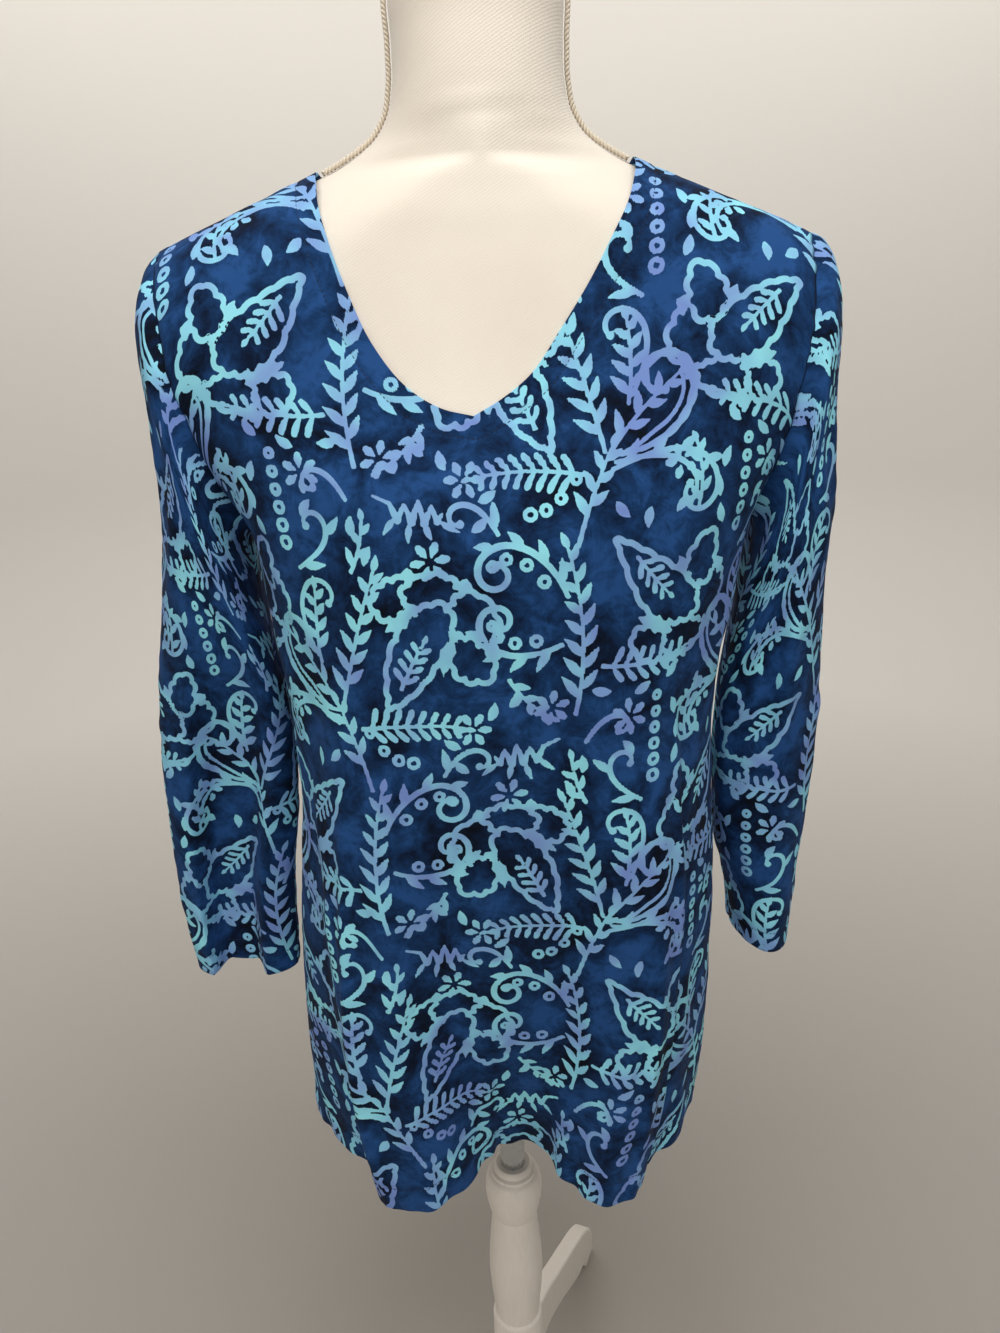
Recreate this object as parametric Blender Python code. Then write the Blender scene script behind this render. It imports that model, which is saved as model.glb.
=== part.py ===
"""A V-neck tunic top hanging on a limbless dress form with a turned tripod stand.

Metres, +Z up, front towards -Y. The form's axis is plumb, and everything hangs from one empty
that puts the origin on the floor, under the middle of the whole.
"""
import math
from collections import namedtuple

import bpy
import bmesh
import numpy as np

# Cloth
WALL = 0.0014               # thickness of the cloth wall
SEAM = 0.0004               # gap where two pieces are sewn together
ARMHOLE_GAP = 0.0009        # gap between the body's armhole edge and the sleeve head
UNDERARM_GAP = 0.0016       # more gap under the arm, where the sleeve folds back

# Tunic body
HEM_Z = 0.550
UNDERARM_Z = 1.115
TIP_Z = 1.310               # shoulder tip, top of the armhole
TIP_X = 0.2275              # shoulder tip from the axis
ARMHOLE_DEPTH = 0.055       # half the armhole's width from front to back
ARMHOLE_CURVE = 1.8         # how sharply the armhole turns in towards the underarm
NECK_POINT_X = 0.1095       # neck end of the shoulder seam
NECK_POINT_Z = 1.357
SHOULDER_SLOPE = (NECK_POINT_Z - TIP_Z) / (TIP_X - NECK_POINT_X)
SHOULDER_ROUND = 0.070      # height over which the cloth turns across the shoulder, at its middle
NECK_ROUND = 0.040          # the same at the axis
SQUARENESS = 2.4            # 2 is an ellipse, more is squarer
TIP_TURN_FROM = 0.6         # share of the half width where the shoulder's turn starts to widen

# Grid counts
SHOULDER_COLUMNS = 6        # each side
FRONT_NECK_COLUMNS = 12     # each side
BACK_NECK_COLUMNS = 9       # each side
SKIRT_ROWS = 11             # hem to underarm
SKIRT_ROW_GROWTH = 1.5      # rows lie closer together towards the underarm
YOKE_ROWS = 12              # underarm to shoulder, half of the sleeve's sides
SLEEVE_SIDES = 2 * YOKE_ROWS
SLEEVE_ROWS = 13
SECTION_POINTS = 361        # fine points along half a section before it is divided evenly

Level = namedtuple("Level", "z left right front back")
LEVELS = [
    Level(0.550, 0.187, 0.176, 0.098, 0.100),
    Level(0.620, 0.188, 0.184, 0.104, 0.102),
    Level(0.720, 0.185, 0.185, 0.112, 0.102),
    Level(0.800, 0.178, 0.184, 0.119, 0.099),
    Level(0.880, 0.169, 0.179, 0.124, 0.095),
    Level(0.970, 0.169, 0.176, 0.127, 0.092),
    Level(1.050, 0.175, 0.186, 0.127, 0.095),
    Level(1.115, 0.184, 0.197, 0.124, 0.100),
    Level(1.160, 0.200, 0.210, 0.1115, 0.102),
    Level(1.198, 0.208, 0.215, 0.0965, 0.100),
    Level(1.250, 0.220, 0.222, 0.0810, 0.093),
    Level(1.300, 0.2275, 0.2275, 0.0695, 0.083),
    Level(1.357, 0.2275, 0.2275, 0.0620, 0.071),
    Level(1.400, 0.2275, 0.2275, 0.0590, 0.064),
]

# Vertical folds: where the crest runs at its top and at the hem, how far it bows outwards on the
# way, how high it stands at the hem, the flat half width of the crest, the reach of the flank
# towards the middle and of the flank away from it, and how far the crest leans outwards
Fold = namedtuple("Fold", "name top_z top_x hem_x bow height flat inner outer lean")
FRONT_FOLDS = [
    Fold("left lobe", 1.105, -0.085, -0.088, -0.026, 0.048, 0.016, 0.074, 0.040, 0.005),
    Fold("right lobe", 1.105, 0.085, 0.084, 0.024, 0.048, 0.010, 0.062, 0.040, 0.005),
    Fold("centre trough", 0.700, 0.002, 0.004, 0.0, -0.024, 0.014, 0.040, 0.044, 0.0),
    Fold("left side swell", 0.850, -0.134, -0.134, 0.0, 0.010, 0.006, 0.036, 0.030, 0.0),
    Fold("right side swell", 0.950, 0.132, 0.136, 0.0, 0.016, 0.012, 0.038, 0.030, 0.0),
]
BACK_FOLDS = [
    Fold("left lobe", 1.060, -0.070, -0.092, -0.010, 0.034, 0.008, 0.056, 0.044, 0.004),
    Fold("right lobe", 1.060, 0.078, 0.098, 0.012, 0.032, 0.008, 0.060, 0.040, 0.004),
    Fold("centre lobe", 0.860, 0.006, 0.003, 0.0, 0.014, 0.006, 0.036, 0.036, 0.0),
]

# Front neckline from each neck point to the corner of its V, in front view
EdgePoint = namedtuple("EdgePoint", "x z")
NECK_LEFT = [
    EdgePoint(-0.1130, 1.3556), EdgePoint(-0.1098, 1.3468), EdgePoint(-0.1070, 1.3316),
    EdgePoint(-0.1011, 1.3107), EdgePoint(-0.0898, 1.2777), EdgePoint(-0.0745, 1.2437),
    EdgePoint(-0.0509, 1.2147), EdgePoint(-0.0317, 1.2031), EdgePoint(-0.0100, 1.1975),
]
NECK_RIGHT = [
    EdgePoint(-0.0100, 1.1975), EdgePoint(0.0076, 1.2068), EdgePoint(0.0277, 1.2216),
    EdgePoint(0.0480, 1.2485), EdgePoint(0.0682, 1.2783), EdgePoint(0.0849, 1.3078),
    EdgePoint(0.0950, 1.3270), EdgePoint(0.1010, 1.3445), EdgePoint(0.1050, 1.3588),
]
BACK_NECK_DROP = 0.010      # how far the back neckline dips below the neck points
BACK_NECK_FLATNESS = 0.8    # power of its curve, less is flatter in the middle

# Sleeves, from ring to ring down the arm: the outer fold's point, the underarm's point, where the
# tube's middle lies front to back, its depths from there, and the valley pressed into its front
Ring = namedtuple("Ring", "out_x out_z in_x in_z mid_y front back valley")
LEFT_RINGS = [
    Ring(TIP_X, TIP_Z, 0.1840, UNDERARM_Z, 0.000, 0.055, 0.055, 0.000),
    Ring(0.2380, 1.298, 0.1905, 1.105, 0.000, 0.059, 0.058, 0.000),
    Ring(0.2450, 1.275, 0.1905, 1.090, 0.000, 0.061, 0.060, 0.000),
    Ring(0.2485, 1.240, 0.1890, 1.072, 0.000, 0.060, 0.060, 0.000),
    Ring(0.2495, 1.200, 0.1870, 1.052, 0.000, 0.058, 0.058, 0.001),
    Ring(0.2510, 1.160, 0.1845, 1.030, 0.000, 0.055, 0.056, 0.003),
    Ring(0.2555, 1.115, 0.1815, 1.006, 0.000, 0.051, 0.053, 0.007),
    Ring(0.2650, 1.060, 0.1765, 0.980, 0.001, 0.046, 0.048, 0.013),
    Ring(0.2760, 1.005, 0.1740, 0.950, 0.002, 0.040, 0.043, 0.019),
    Ring(0.2850, 0.945, 0.1745, 0.905, 0.003, 0.034, 0.038, 0.024),
    Ring(0.2915, 0.880, 0.1780, 0.860, 0.004, 0.030, 0.034, 0.028),
    Ring(0.2940, 0.815, 0.1870, 0.805, 0.005, 0.027, 0.031, 0.030),
    Ring(0.2930, 0.755, 0.1910, 0.750, 0.005, 0.025, 0.029, 0.030),
    Ring(0.2885, 0.700, 0.1935, 0.700, 0.005, 0.025, 0.028, 0.029),
]
RIGHT_RINGS = [
    Ring(TIP_X, TIP_Z, 0.1970, UNDERARM_Z, 0.000, 0.055, 0.055, 0.000),
    Ring(0.2400, 1.303, 0.2030, 1.105, 0.000, 0.059, 0.058, 0.000),
    Ring(0.2480, 1.286, 0.2030, 1.090, 0.000, 0.061, 0.060, 0.000),
    Ring(0.2525, 1.257, 0.2010, 1.072, 0.000, 0.060, 0.060, 0.000),
    Ring(0.2550, 1.218, 0.1985, 1.052, 0.000, 0.058, 0.058, 0.002),
    Ring(0.2585, 1.170, 0.1960, 1.029, 0.000, 0.056, 0.056, 0.005),
    Ring(0.2625, 1.115, 0.1925, 1.004, 0.002, 0.053, 0.054, 0.008),
    Ring(0.2635, 1.060, 0.1885, 0.976, 0.004, 0.050, 0.052, 0.009),
    Ring(0.2660, 1.000, 0.1855, 0.941, 0.006, 0.048, 0.050, 0.007),
    Ring(0.2685, 0.940, 0.1850, 0.900, 0.009, 0.047, 0.048, 0.005),
    Ring(0.2690, 0.885, 0.1875, 0.860, 0.012, 0.047, 0.047, 0.003),
    Ring(0.2680, 0.825, 0.1925, 0.815, 0.017, 0.049, 0.046, 0.001),
    Ring(0.2660, 0.770, 0.2050, 0.768, 0.022, 0.052, 0.047, 0.000),
    Ring(0.2640, 0.717, 0.2130, 0.717, 0.027, 0.056, 0.050, 0.000),
]
LEFT_VALLEY_DEG = 101.0     # place of the valley round the sleeve, from its outer fold
RIGHT_VALLEY_DEG = 118.0
VALLEY_HALF_DEG = 44.0
HEAD_RINGS = 4.0            # rings over which the sleeve loses the armhole's curve

# Dress form: half width, depths, depth left at the arm plates, squareness of the section
FormLevel = namedtuple("FormLevel", "z half front back plate square")
FORM_INSET = 0.0030         # form's shoulder below the middle of the cloth
FORM_LEVELS = [
    FormLevel(0.690, 0.152, 0.088, 0.092, 0.000, 2.3),
    FormLevel(0.696, 0.158, 0.094, 0.098, 0.000, 2.3),
    FormLevel(0.730, 0.162, 0.100, 0.088, 0.000, 2.3),
    FormLevel(0.780, 0.160, 0.101, 0.090, 0.000, 2.3),
    FormLevel(0.840, 0.145, 0.093, 0.084, 0.000, 2.2),
    FormLevel(0.900, 0.125, 0.085, 0.076, 0.000, 2.2),
    FormLevel(0.950, 0.119, 0.084, 0.074, 0.000, 2.2),
    FormLevel(1.010, 0.128, 0.095, 0.080, 0.000, 2.2),
    FormLevel(1.060, 0.141, 0.112, 0.086, 0.000, 2.2),
    FormLevel(1.100, 0.150, 0.118, 0.092, 0.004, 2.3),
    FormLevel(1.140, 0.160, 0.1135, 0.096, 0.018, 2.3),
    FormLevel(1.180, 0.174, 0.1010, 0.098, 0.034, 2.4),
    FormLevel(1.220, 0.188, 0.0875, 0.0945, 0.045, 2.4),
    FormLevel(1.260, 0.197, 0.0765, 0.0890, 0.051, 2.4),
    FormLevel(1.290, 0.200, 0.0700, 0.0830, 0.051, 2.4),
    FormLevel(1.308, 0.199, 0.0665, 0.0795, 0.050, 2.4),
    FormLevel(1.322, 0.184, 0.0645, 0.0765, 0.044, 2.4),
    FormLevel(1.336, 0.149, 0.0620, 0.0735, 0.036, 2.2),
    FormLevel(1.347, 0.122, 0.0605, 0.0700, 0.024, 2.0),
    FormLevel(1.3545, 0.104, 0.0595, 0.0660, 0.000, 1.3),
    FormLevel(1.361, 0.091, 0.0590, 0.0630, 0.000, 1.4),
    FormLevel(1.371, 0.075, 0.0580, 0.0600, 0.000, 1.6),
    FormLevel(1.386, 0.063, 0.0575, 0.0580, 0.000, 1.9),
    FormLevel(1.405, 0.0580, 0.0570, 0.0570, 0.000, 2.0),
    FormLevel(1.430, 0.0570, 0.0560, 0.0560, 0.000, 2.0),
    FormLevel(1.462, 0.0570, 0.0550, 0.0550, 0.000, 2.0),
    FormLevel(1.4720, 0.0545, 0.0525, 0.0525, 0.000, 2.0),
    FormLevel(1.4755, 0.0490, 0.0470, 0.0470, 0.000, 2.0),
]
FORM_SIDES = 36
FORM_MIN_DEPTH = 0.002      # depth kept at the sides where the section closes
SHOULDER_TOP_ROW_Z = 1.3495  # below this the form's shoulders follow the cloth's

# Braid down each side of the neck, as distances from the axis
BRAID_RADIUS = 0.0025
BRAID_GAP = 0.0003
BRAID_SIDES = 8
BRAID_POINTS = 16
BRAID_TOP_Z = 1.4600
BRAID_END_GAP = 0.0045      # from the end of the braid to the cloth's neck point

# Stand
POLE_RADIUS = 0.0125
POLE_SIDES = 24
POLE_GAP = 0.0003
POST_SIDES = 24
Turn = namedtuple("Turn", "z radius")
POST_PROFILE = [
    Turn(0.0640, 0.0060), Turn(0.0650, 0.0110), Turn(0.0720, 0.0180), Turn(0.0840, 0.0240),
    Turn(0.0940, 0.0268), Turn(0.2290, 0.0268), Turn(0.2325, 0.0258), Turn(0.2345, 0.0238),
    Turn(0.2520, 0.0251), Turn(0.2800, 0.0274), Turn(0.3100, 0.0284), Turn(0.3350, 0.0270),
    Turn(0.3600, 0.0249), Turn(0.3790, 0.0232), Turn(0.3820, 0.0224), Turn(0.3850, 0.0240),
    Turn(0.3950, 0.0266), Turn(0.4070, 0.0285), Turn(0.4190, 0.0290), Turn(0.4280, 0.0278),
    Turn(0.4340, 0.0256), Turn(0.4360, 0.0228), Turn(0.4395, 0.0226), Turn(0.4410, 0.0198),
    Turn(0.4445, 0.0194), Turn(0.4470, 0.0170),
]
LEG_THICKNESS = 0.021
LEG_ROOT_GAP = 0.0003
LEG_NAMES = ["leg_back", "leg_front", "leg_side"]
LEG_FIRST_DEG = 22.0        # from straight back towards +X
LegPoint = namedtuple("LegPoint", "reach z")
LEG_TOP = [
    LegPoint(0.0, 0.186), LegPoint(0.048, 0.168), LegPoint(0.100, 0.138), LegPoint(0.160, 0.105),
    LegPoint(0.205, 0.078), LegPoint(0.232, 0.052), LegPoint(0.243, 0.026), LegPoint(0.243, 0.000),
]
LEG_UNDER = [
    LegPoint(0.212, 0.000), LegPoint(0.208, 0.014), LegPoint(0.196, 0.023), LegPoint(0.180, 0.028),
    LegPoint(0.150, 0.046), LegPoint(0.100, 0.080), LegPoint(0.045, 0.108), LegPoint(0.0, 0.113),
]


def smooth_curve(knots, values, at):
    """A cubic through the knots, its slope at each knot taken from the neighbours."""
    knots = np.asarray(knots, float)
    values = np.asarray(values, float)
    at = np.clip(at, knots[0], knots[-1])
    slopes = np.gradient(values, knots)
    cell = np.clip(np.searchsorted(knots, at, side="right") - 1, 0, len(knots) - 2)
    width = knots[cell + 1] - knots[cell]
    t = (at - knots[cell]) / width
    rise = values[cell + 1] - values[cell]
    a = slopes[cell] * width - rise
    b = rise - slopes[cell + 1] * width
    return values[cell] + t * rise + t * (1 - t) * (a * (1 - t) + b * t)


def column(table, name, at, key="z"):
    """One named column of a table, read at any height."""
    return smooth_curve([getattr(row, key) for row in table], [getattr(row, name) for row in table], at)


def soft_step(t):
    t = np.clip(t, 0.0, 1.0)
    return t * t * (3.0 - 2.0 * t)


def even_points(points, count):
    """Points along a polyline at equal steps of its length."""
    steps = np.linalg.norm(np.diff(points, axis=0), axis=1)
    length = np.concatenate([[0.0], np.cumsum(steps)])
    at = np.linspace(0.0, length[-1], count)
    return np.stack([np.interp(at, length, points[:, axis]) for axis in range(points.shape[1])], axis=1)


def shoulder_height(x):
    """Height of the shoulder seam over a point x."""
    return NECK_POINT_Z - SHOULDER_SLOPE * (np.abs(x) - NECK_POINT_X)


def armhole_x(side_x, z):
    """Distance of the armhole edge from the axis at a height above the underarm."""
    rise = np.clip((z - UNDERARM_Z) / (TIP_Z - UNDERARM_Z), 0.0, 1.0)
    return TIP_X - (TIP_X - side_x) * (1.0 - rise) ** ARMHOLE_CURVE


def underarm_x(x):
    """Distance of the underarm point from the axis on the side where x lies."""
    return np.where(x < 0, LEFT_RINGS[0].in_x, RIGHT_RINGS[0].in_x)


def cut_section(across, depth, edge, square):
    """Depth along a rounded section that is cut off where only the edge depth is left."""
    reach = across ** square * (1.0 - (edge / depth) ** square)
    return depth * np.clip(1.0 - reach, 0.0, 1.0) ** (1 / square)


def yoke_depth(ratio, x, z, depth):
    """Depth from the axis of the cloth over chest or back, above the underarm."""
    rise = np.clip((z - UNDERARM_Z) / (TIP_Z - UNDERARM_Z), 0.0, 1.0)
    low = 1.0 - np.minimum(2.0 * rise, 1.0)
    edge = ARMHOLE_DEPTH * np.sqrt(1.0 - low ** 2)
    across = np.abs(ratio)
    section = cut_section(across, depth, edge, SQUARENESS)
    mid_round = NECK_ROUND + (SHOULDER_ROUND - NECK_ROUND) * soft_step(np.abs(x) / NECK_POINT_X)
    tip_round = (TIP_Z - UNDERARM_Z) / 2.0
    turn = mid_round + (tip_round - mid_round) * soft_step((across - TIP_TURN_FROM) / (1.0 - TIP_TURN_FROM))
    fall = 1.0 - np.clip((shoulder_height(x) - z) / turn, 0.0, 1.0)
    return section * np.sqrt(np.clip(1.0 - fall ** 2, 0.0, 1.0))


def skirt_section(z, face, folds, count):
    """Points across the front (face -1) or back (face +1) at a height below the underarm."""
    angle = np.linspace(-math.pi / 2, math.pi / 2, SECTION_POINTS)
    across = np.sign(angle) * np.abs(np.sin(angle)) ** (2 / SQUARENESS)
    left = column(LEVELS, "left", z)
    right = column(LEVELS, "right", z)
    depth = column(LEVELS, "front" if face < 0 else "back", z)
    base_x = np.where(across < 0, left, right) * across
    x = base_x.copy()
    out = depth * np.clip(np.cos(angle), 0.0, 1.0) ** (2 / SQUARENESS)
    for fold in folds:
        grown = np.clip((fold.top_z - z) / (fold.top_z - HEM_Z), 0.0, 1.0)
        if grown == 0.0:
            continue
        crest = fold.top_x + (fold.hem_x - fold.top_x) * grown + fold.bow * math.sin(math.pi * grown)
        away = (base_x - crest) * (1.0 if crest >= 0 else -1.0)
        reach = np.where(away > 0, fold.outer, fold.inner)
        swell = soft_step((reach - np.abs(away)) / (reach - fold.flat))
        out = out + fold.height * grown * swell
        x = x + math.copysign(fold.lean * grown, crest) * swell
    section = np.stack([x, face * out, np.full_like(x, z)], axis=1)
    return even_points(section, count)


def edge_curve(points, count):
    """A smooth edge through a few points in front view, divided evenly."""
    rough = np.array([[p.x, p.z] for p in points])
    steps = np.concatenate([[0.0], np.cumsum(np.linalg.norm(np.diff(rough, axis=0), axis=1))])
    fine = np.linspace(0.0, steps[-1], 200)
    curve = np.stack([smooth_curve(steps, rough[:, 0], fine), smooth_curve(steps, rough[:, 1], fine)], 1)
    return even_points(curve, count)


def shoulder_edge(neck, x_sign, count):
    """Even points along a shoulder seam from its neck end to its tip."""
    x = np.linspace(abs(neck.x), TIP_X, count)
    return np.stack([x_sign * x, shoulder_height(x)], axis=1)


def top_edge(face):
    """Upper edge of a panel in front view, shoulder tip to shoulder tip."""
    left = NECK_LEFT[0]
    right = NECK_RIGHT[-1]
    left_shoulder = shoulder_edge(left, -1, SHOULDER_COLUMNS + 1)[::-1]
    right_shoulder = shoulder_edge(right, 1, SHOULDER_COLUMNS + 1)
    if face < 0:
        neck = [edge_curve(edge, FRONT_NECK_COLUMNS + 1) for edge in (NECK_LEFT, NECK_RIGHT)]
    else:
        middle = (left.x + right.x) / 2
        bottom = NECK_POINT_Z - BACK_NECK_DROP
        angle = np.linspace(0.0, math.pi / 2, BACK_NECK_COLUMNS + 1)
        halves = []
        for end in (left, right):
            x = middle + (end.x - middle) * np.cos(angle)
            z = end.z + (bottom - end.z) * np.sin(angle) ** BACK_NECK_FLATNESS
            halves.append(np.stack([x, z], axis=1))
        neck = [halves[0], halves[1][::-1]]
    return np.concatenate([left_shoulder[:-1], neck[0][:-1], neck[1][:-1], right_shoulder])


def panel_grid(face, folds):
    """Middle surface of the front or back: rows from hem to top, columns from left to right."""
    top = top_edge(face)
    count = len(top)
    rows = []
    for step in range(SKIRT_ROWS + 1):
        up = 1.0 - (1.0 - step / SKIRT_ROWS) ** SKIRT_ROW_GROWTH
        rows.append(skirt_section(HEM_Z + (UNDERARM_Z - HEM_Z) * up, face, folds, count))
    low_x = rows[-1][:, 0]
    low_ratio = low_x / underarm_x(low_x)
    high_ratio = top[:, 0] / armhole_x(underarm_x(top[:, 0]), top[:, 1])
    for step in range(1, YOKE_ROWS + 1):
        g = (1.0 - math.cos(math.pi * step / YOKE_ROWS)) / 2.0
        z = UNDERARM_Z + (top[:, 1] - UNDERARM_Z) * g
        ratio = low_ratio + (high_ratio - low_ratio) * g
        x = ratio * armhole_x(underarm_x(ratio), z)
        depth = column(LEVELS, "front" if face < 0 else "back", z)
        rows.append(np.stack([x, face * yoke_depth(ratio, x, z, depth), z], axis=1))
    grid = np.array(rows)
    grid[:, :, 1] = face * np.maximum(face * grid[:, :, 1], SEAM / 2)
    return grid


def grid_normals(grid, wrap):
    """Unit normals of a grid; wrap says that its columns close into a ring."""
    if wrap:
        along = np.roll(grid, -1, axis=1) - np.roll(grid, 1, axis=1)
    else:
        along = np.gradient(grid, axis=1)
    up = np.gradient(grid, axis=0)
    normal = np.cross(along, up)
    return normal / np.linalg.norm(normal, axis=2, keepdims=True)


def flatten(normal, rows, columns):
    """Take the front-to-back part out of the wall direction where two panels meet."""
    normal[rows, columns, 1] = 0.0
    length = np.linalg.norm(normal[rows, columns], axis=-1, keepdims=True)
    normal[rows, columns] /= length


def add_material(item, name, colour, roughness, metallic=0.0):
    material = bpy.data.materials.new(name)
    material.use_nodes = True
    shader = material.node_tree.nodes["Principled BSDF"]
    shader.inputs["Base Color"].default_value = (*colour, 1.0)
    shader.inputs["Roughness"].default_value = roughness
    shader.inputs["Metallic"].default_value = metallic
    item.data.materials.append(material)


def add_solid(name, vertices, faces, parent):
    """One closed object from points and faces, its faces turned outwards."""
    mesh = bpy.data.meshes.new(name)
    mesh.from_pydata([tuple(v) for v in vertices], [], [tuple(int(i) for i in f) for f in faces])
    work = bmesh.new()
    work.from_mesh(mesh)
    bmesh.ops.recalc_face_normals(work, faces=work.faces)
    work.to_mesh(mesh)
    work.free()
    mesh.shade_smooth()
    mesh.set_sharp_from_angle(angle=math.radians(50))
    item = bpy.data.objects.new(name, mesh)
    bpy.context.scene.collection.objects.link(item)
    item.parent = parent
    return item


def grid_faces(rows, columns, wrap, offset=0):
    """Triangles over a grid, all cut the same way, so that both sides of a wall run parallel."""
    faces = []
    for r in range(rows - 1):
        for c in range(columns if wrap else columns - 1):
            n = (c + 1) % columns
            low, low_next = offset + r * columns + c, offset + r * columns + n
            high, high_next = low + columns, low_next + columns
            faces.append((low, low_next, high_next))
            faces.append((low, high_next, high))
    return faces


def cloth_wall(name, grid, normal, wrap, parent):
    """A wall of cloth: the grid moved out and in by half its thickness, closed round its edges."""
    rows, columns = grid.shape[:2]
    outer = (grid + normal * WALL / 2).reshape(-1, 3)
    inner = (grid - normal * WALL / 2).reshape(-1, 3)
    shift = rows * columns
    faces = grid_faces(rows, columns, wrap)
    faces += [face[::-1] for face in grid_faces(rows, columns, wrap, shift)]
    top = (rows - 1) * columns
    for c in range(columns if wrap else columns - 1):
        n = (c + 1) % columns
        faces.append((n, c, c + shift, n + shift))
        faces.append((top + c, top + n, top + n + shift, top + c + shift))
    if not wrap:
        for r in range(rows - 1):
            a, b = r * columns, (r + 1) * columns
            faces.append((a, b, b + shift, a + shift))
            a, b = a + columns - 1, b + columns - 1
            faces.append((b, a, a + shift, b + shift))
    return add_solid(name, np.concatenate([outer, inner]), faces, parent)


def add_panel(name, face, folds, parent):
    grid = panel_grid(face, folds)
    normal = -face * grid_normals(grid, wrap=False)
    for side in (0, -1):
        flatten(normal, slice(0, SKIRT_ROWS + 1), side)
    last = SHOULDER_COLUMNS + 1
    flatten(normal, -1, slice(0, last))
    flatten(normal, -1, slice(grid.shape[1] - last, None))
    return cloth_wall(name, grid, normal, False, parent)


def sleeve_grid(rings, x_sign, valley_deg):
    """Middle surface of a sleeve: rows from armhole to cuff, columns round it from the outer fold."""
    angle = np.linspace(0.0, 2.0 * math.pi, SLEEVE_SIDES, endpoint=False)
    keys = np.arange(len(rings), dtype=float)
    valley = np.abs(np.degrees(angle) - valley_deg) / VALLEY_HALF_DEG
    pressed = soft_step(1.0 - valley)
    rows = []
    for at in np.linspace(0.0, len(rings) - 1, SLEEVE_ROWS + 1):
        ring = Ring(*[float(smooth_curve(keys, values, at)) for values in zip(*rings)])
        swing = np.cos(angle)
        x = (ring.out_x + ring.in_x) / 2 + (ring.out_x - ring.in_x) / 2 * swing
        z = (ring.out_z + ring.in_z) / 2 + (ring.out_z - ring.in_z) / 2 * swing
        head = max(0.0, 1.0 - at / HEAD_RINGS)
        straight = TIP_X - (TIP_X - rings[0].in_x) * (1.0 - swing) / 2
        bent = TIP_X - (TIP_X - rings[0].in_x) * ((1.0 - swing) / 2) ** ARMHOLE_CURVE
        x = x + (bent - straight) * head
        depth = np.where(np.sin(angle) > 0, ring.front, ring.back)
        y = ring.mid_y - depth * np.sin(angle) + ring.valley * pressed
        if at == 0.0:
            x = x + ARMHOLE_GAP + UNDERARM_GAP * ((1.0 - swing) / 2) ** 2
        rows.append(np.stack([x_sign * x, y, z], axis=1))
    return np.array(rows)


def add_sleeve(name, rings, x_sign, valley_deg, parent):
    grid = sleeve_grid(rings, x_sign, valley_deg)
    return cloth_wall(name, grid, grid_normals(grid, wrap=True), True, parent)


def form_ring(level):
    """One section of the dress form."""
    half_count = FORM_SIDES // 2
    angle = np.linspace(-math.pi / 2, math.pi / 2, half_count + 1)
    across = np.sign(angle) * np.abs(np.sin(angle)) ** (2 / level.square)
    x = level.half * across
    turned = np.ones_like(x)
    if level.z < SHOULDER_TOP_ROW_Z:
        mid_round = NECK_ROUND + (SHOULDER_ROUND - NECK_ROUND) * soft_step(np.abs(x) / NECK_POINT_X)
        drop = (shoulder_height(x) - FORM_INSET - level.z) / mid_round
        turned = np.sqrt(1.0 - (1.0 - np.clip(drop, 0.0, 1.0)) ** 2)
    front = cut_section(np.abs(across), level.front, level.plate, level.square) * turned
    back = cut_section(np.abs(across), level.back, level.plate, level.square) * turned
    ends = max(front[0], FORM_MIN_DEPTH)
    front[0] = front[-1] = ends
    back[0] = back[-1] = ends
    points = [(x[i], -front[i], level.z) for i in range(half_count + 1)]
    points += [(x[i], back[i], level.z) for i in range(half_count, -1, -1)]
    return points


def add_loft(name, rings, parent):
    """A closed solid through rings of equally many points, with flat ends."""
    columns = len(rings[0])
    vertices = [point for ring in rings for point in ring]
    faces = grid_faces(len(rings), columns, True)
    faces.append(tuple(range(columns))[::-1])
    faces.append(tuple(range((len(rings) - 1) * columns, len(rings) * columns)))
    return add_solid(name, vertices, faces, parent)


def add_turning(name, profile, sides, parent):
    """A turned solid about the axis."""
    rings = []
    for turn in profile:
        ring = []
        for i in range(sides):
            a = 2.0 * math.pi * i / sides
            ring.append((turn.radius * math.cos(a), turn.radius * math.sin(a), turn.z))
        rings.append(ring)
    return add_loft(name, rings, parent)


def add_braid(name, neck_point, parent):
    """A cord lying on the side of the neck, down to the cloth's neck point."""
    off = BRAID_RADIUS + BRAID_GAP
    x_sign = math.copysign(1.0, neck_point.x)
    neck = [level for level in FORM_LEVELS if level.z > SHOULDER_TOP_ROW_Z - 0.010]
    end_x = abs(neck_point.x) - BRAID_END_GAP
    end_z = np.interp(-end_x, [-level.half for level in neck], [level.z for level in neck])
    heights = BRAID_TOP_Z + (end_z - BRAID_TOP_Z) * np.linspace(0.0, 1.0, 120)
    halves = np.interp(heights, [row.z for row in neck], [row.half for row in neck])
    wall = np.stack([halves, heights], axis=1)
    tangent = np.gradient(wall, axis=0)
    tangent /= np.linalg.norm(tangent, axis=1, keepdims=True)
    path = even_points(wall + off * np.stack([-tangent[:, 1], tangent[:, 0]], axis=1), BRAID_POINTS)
    curve = bpy.data.curves.new(name, "CURVE")
    curve.dimensions = "3D"
    curve.bevel_depth = BRAID_RADIUS
    curve.bevel_resolution = 2
    curve.use_fill_caps = True
    spline = curve.splines.new("POLY")
    spline.points.add(BRAID_POINTS - 1)
    for point, (x, z) in zip(spline.points, path):
        point.co = (x_sign * x, 0.0, z, 1.0)
    item = bpy.data.objects.new(name, curve)
    bpy.context.scene.collection.objects.link(item)
    item.parent = parent
    return item


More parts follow.
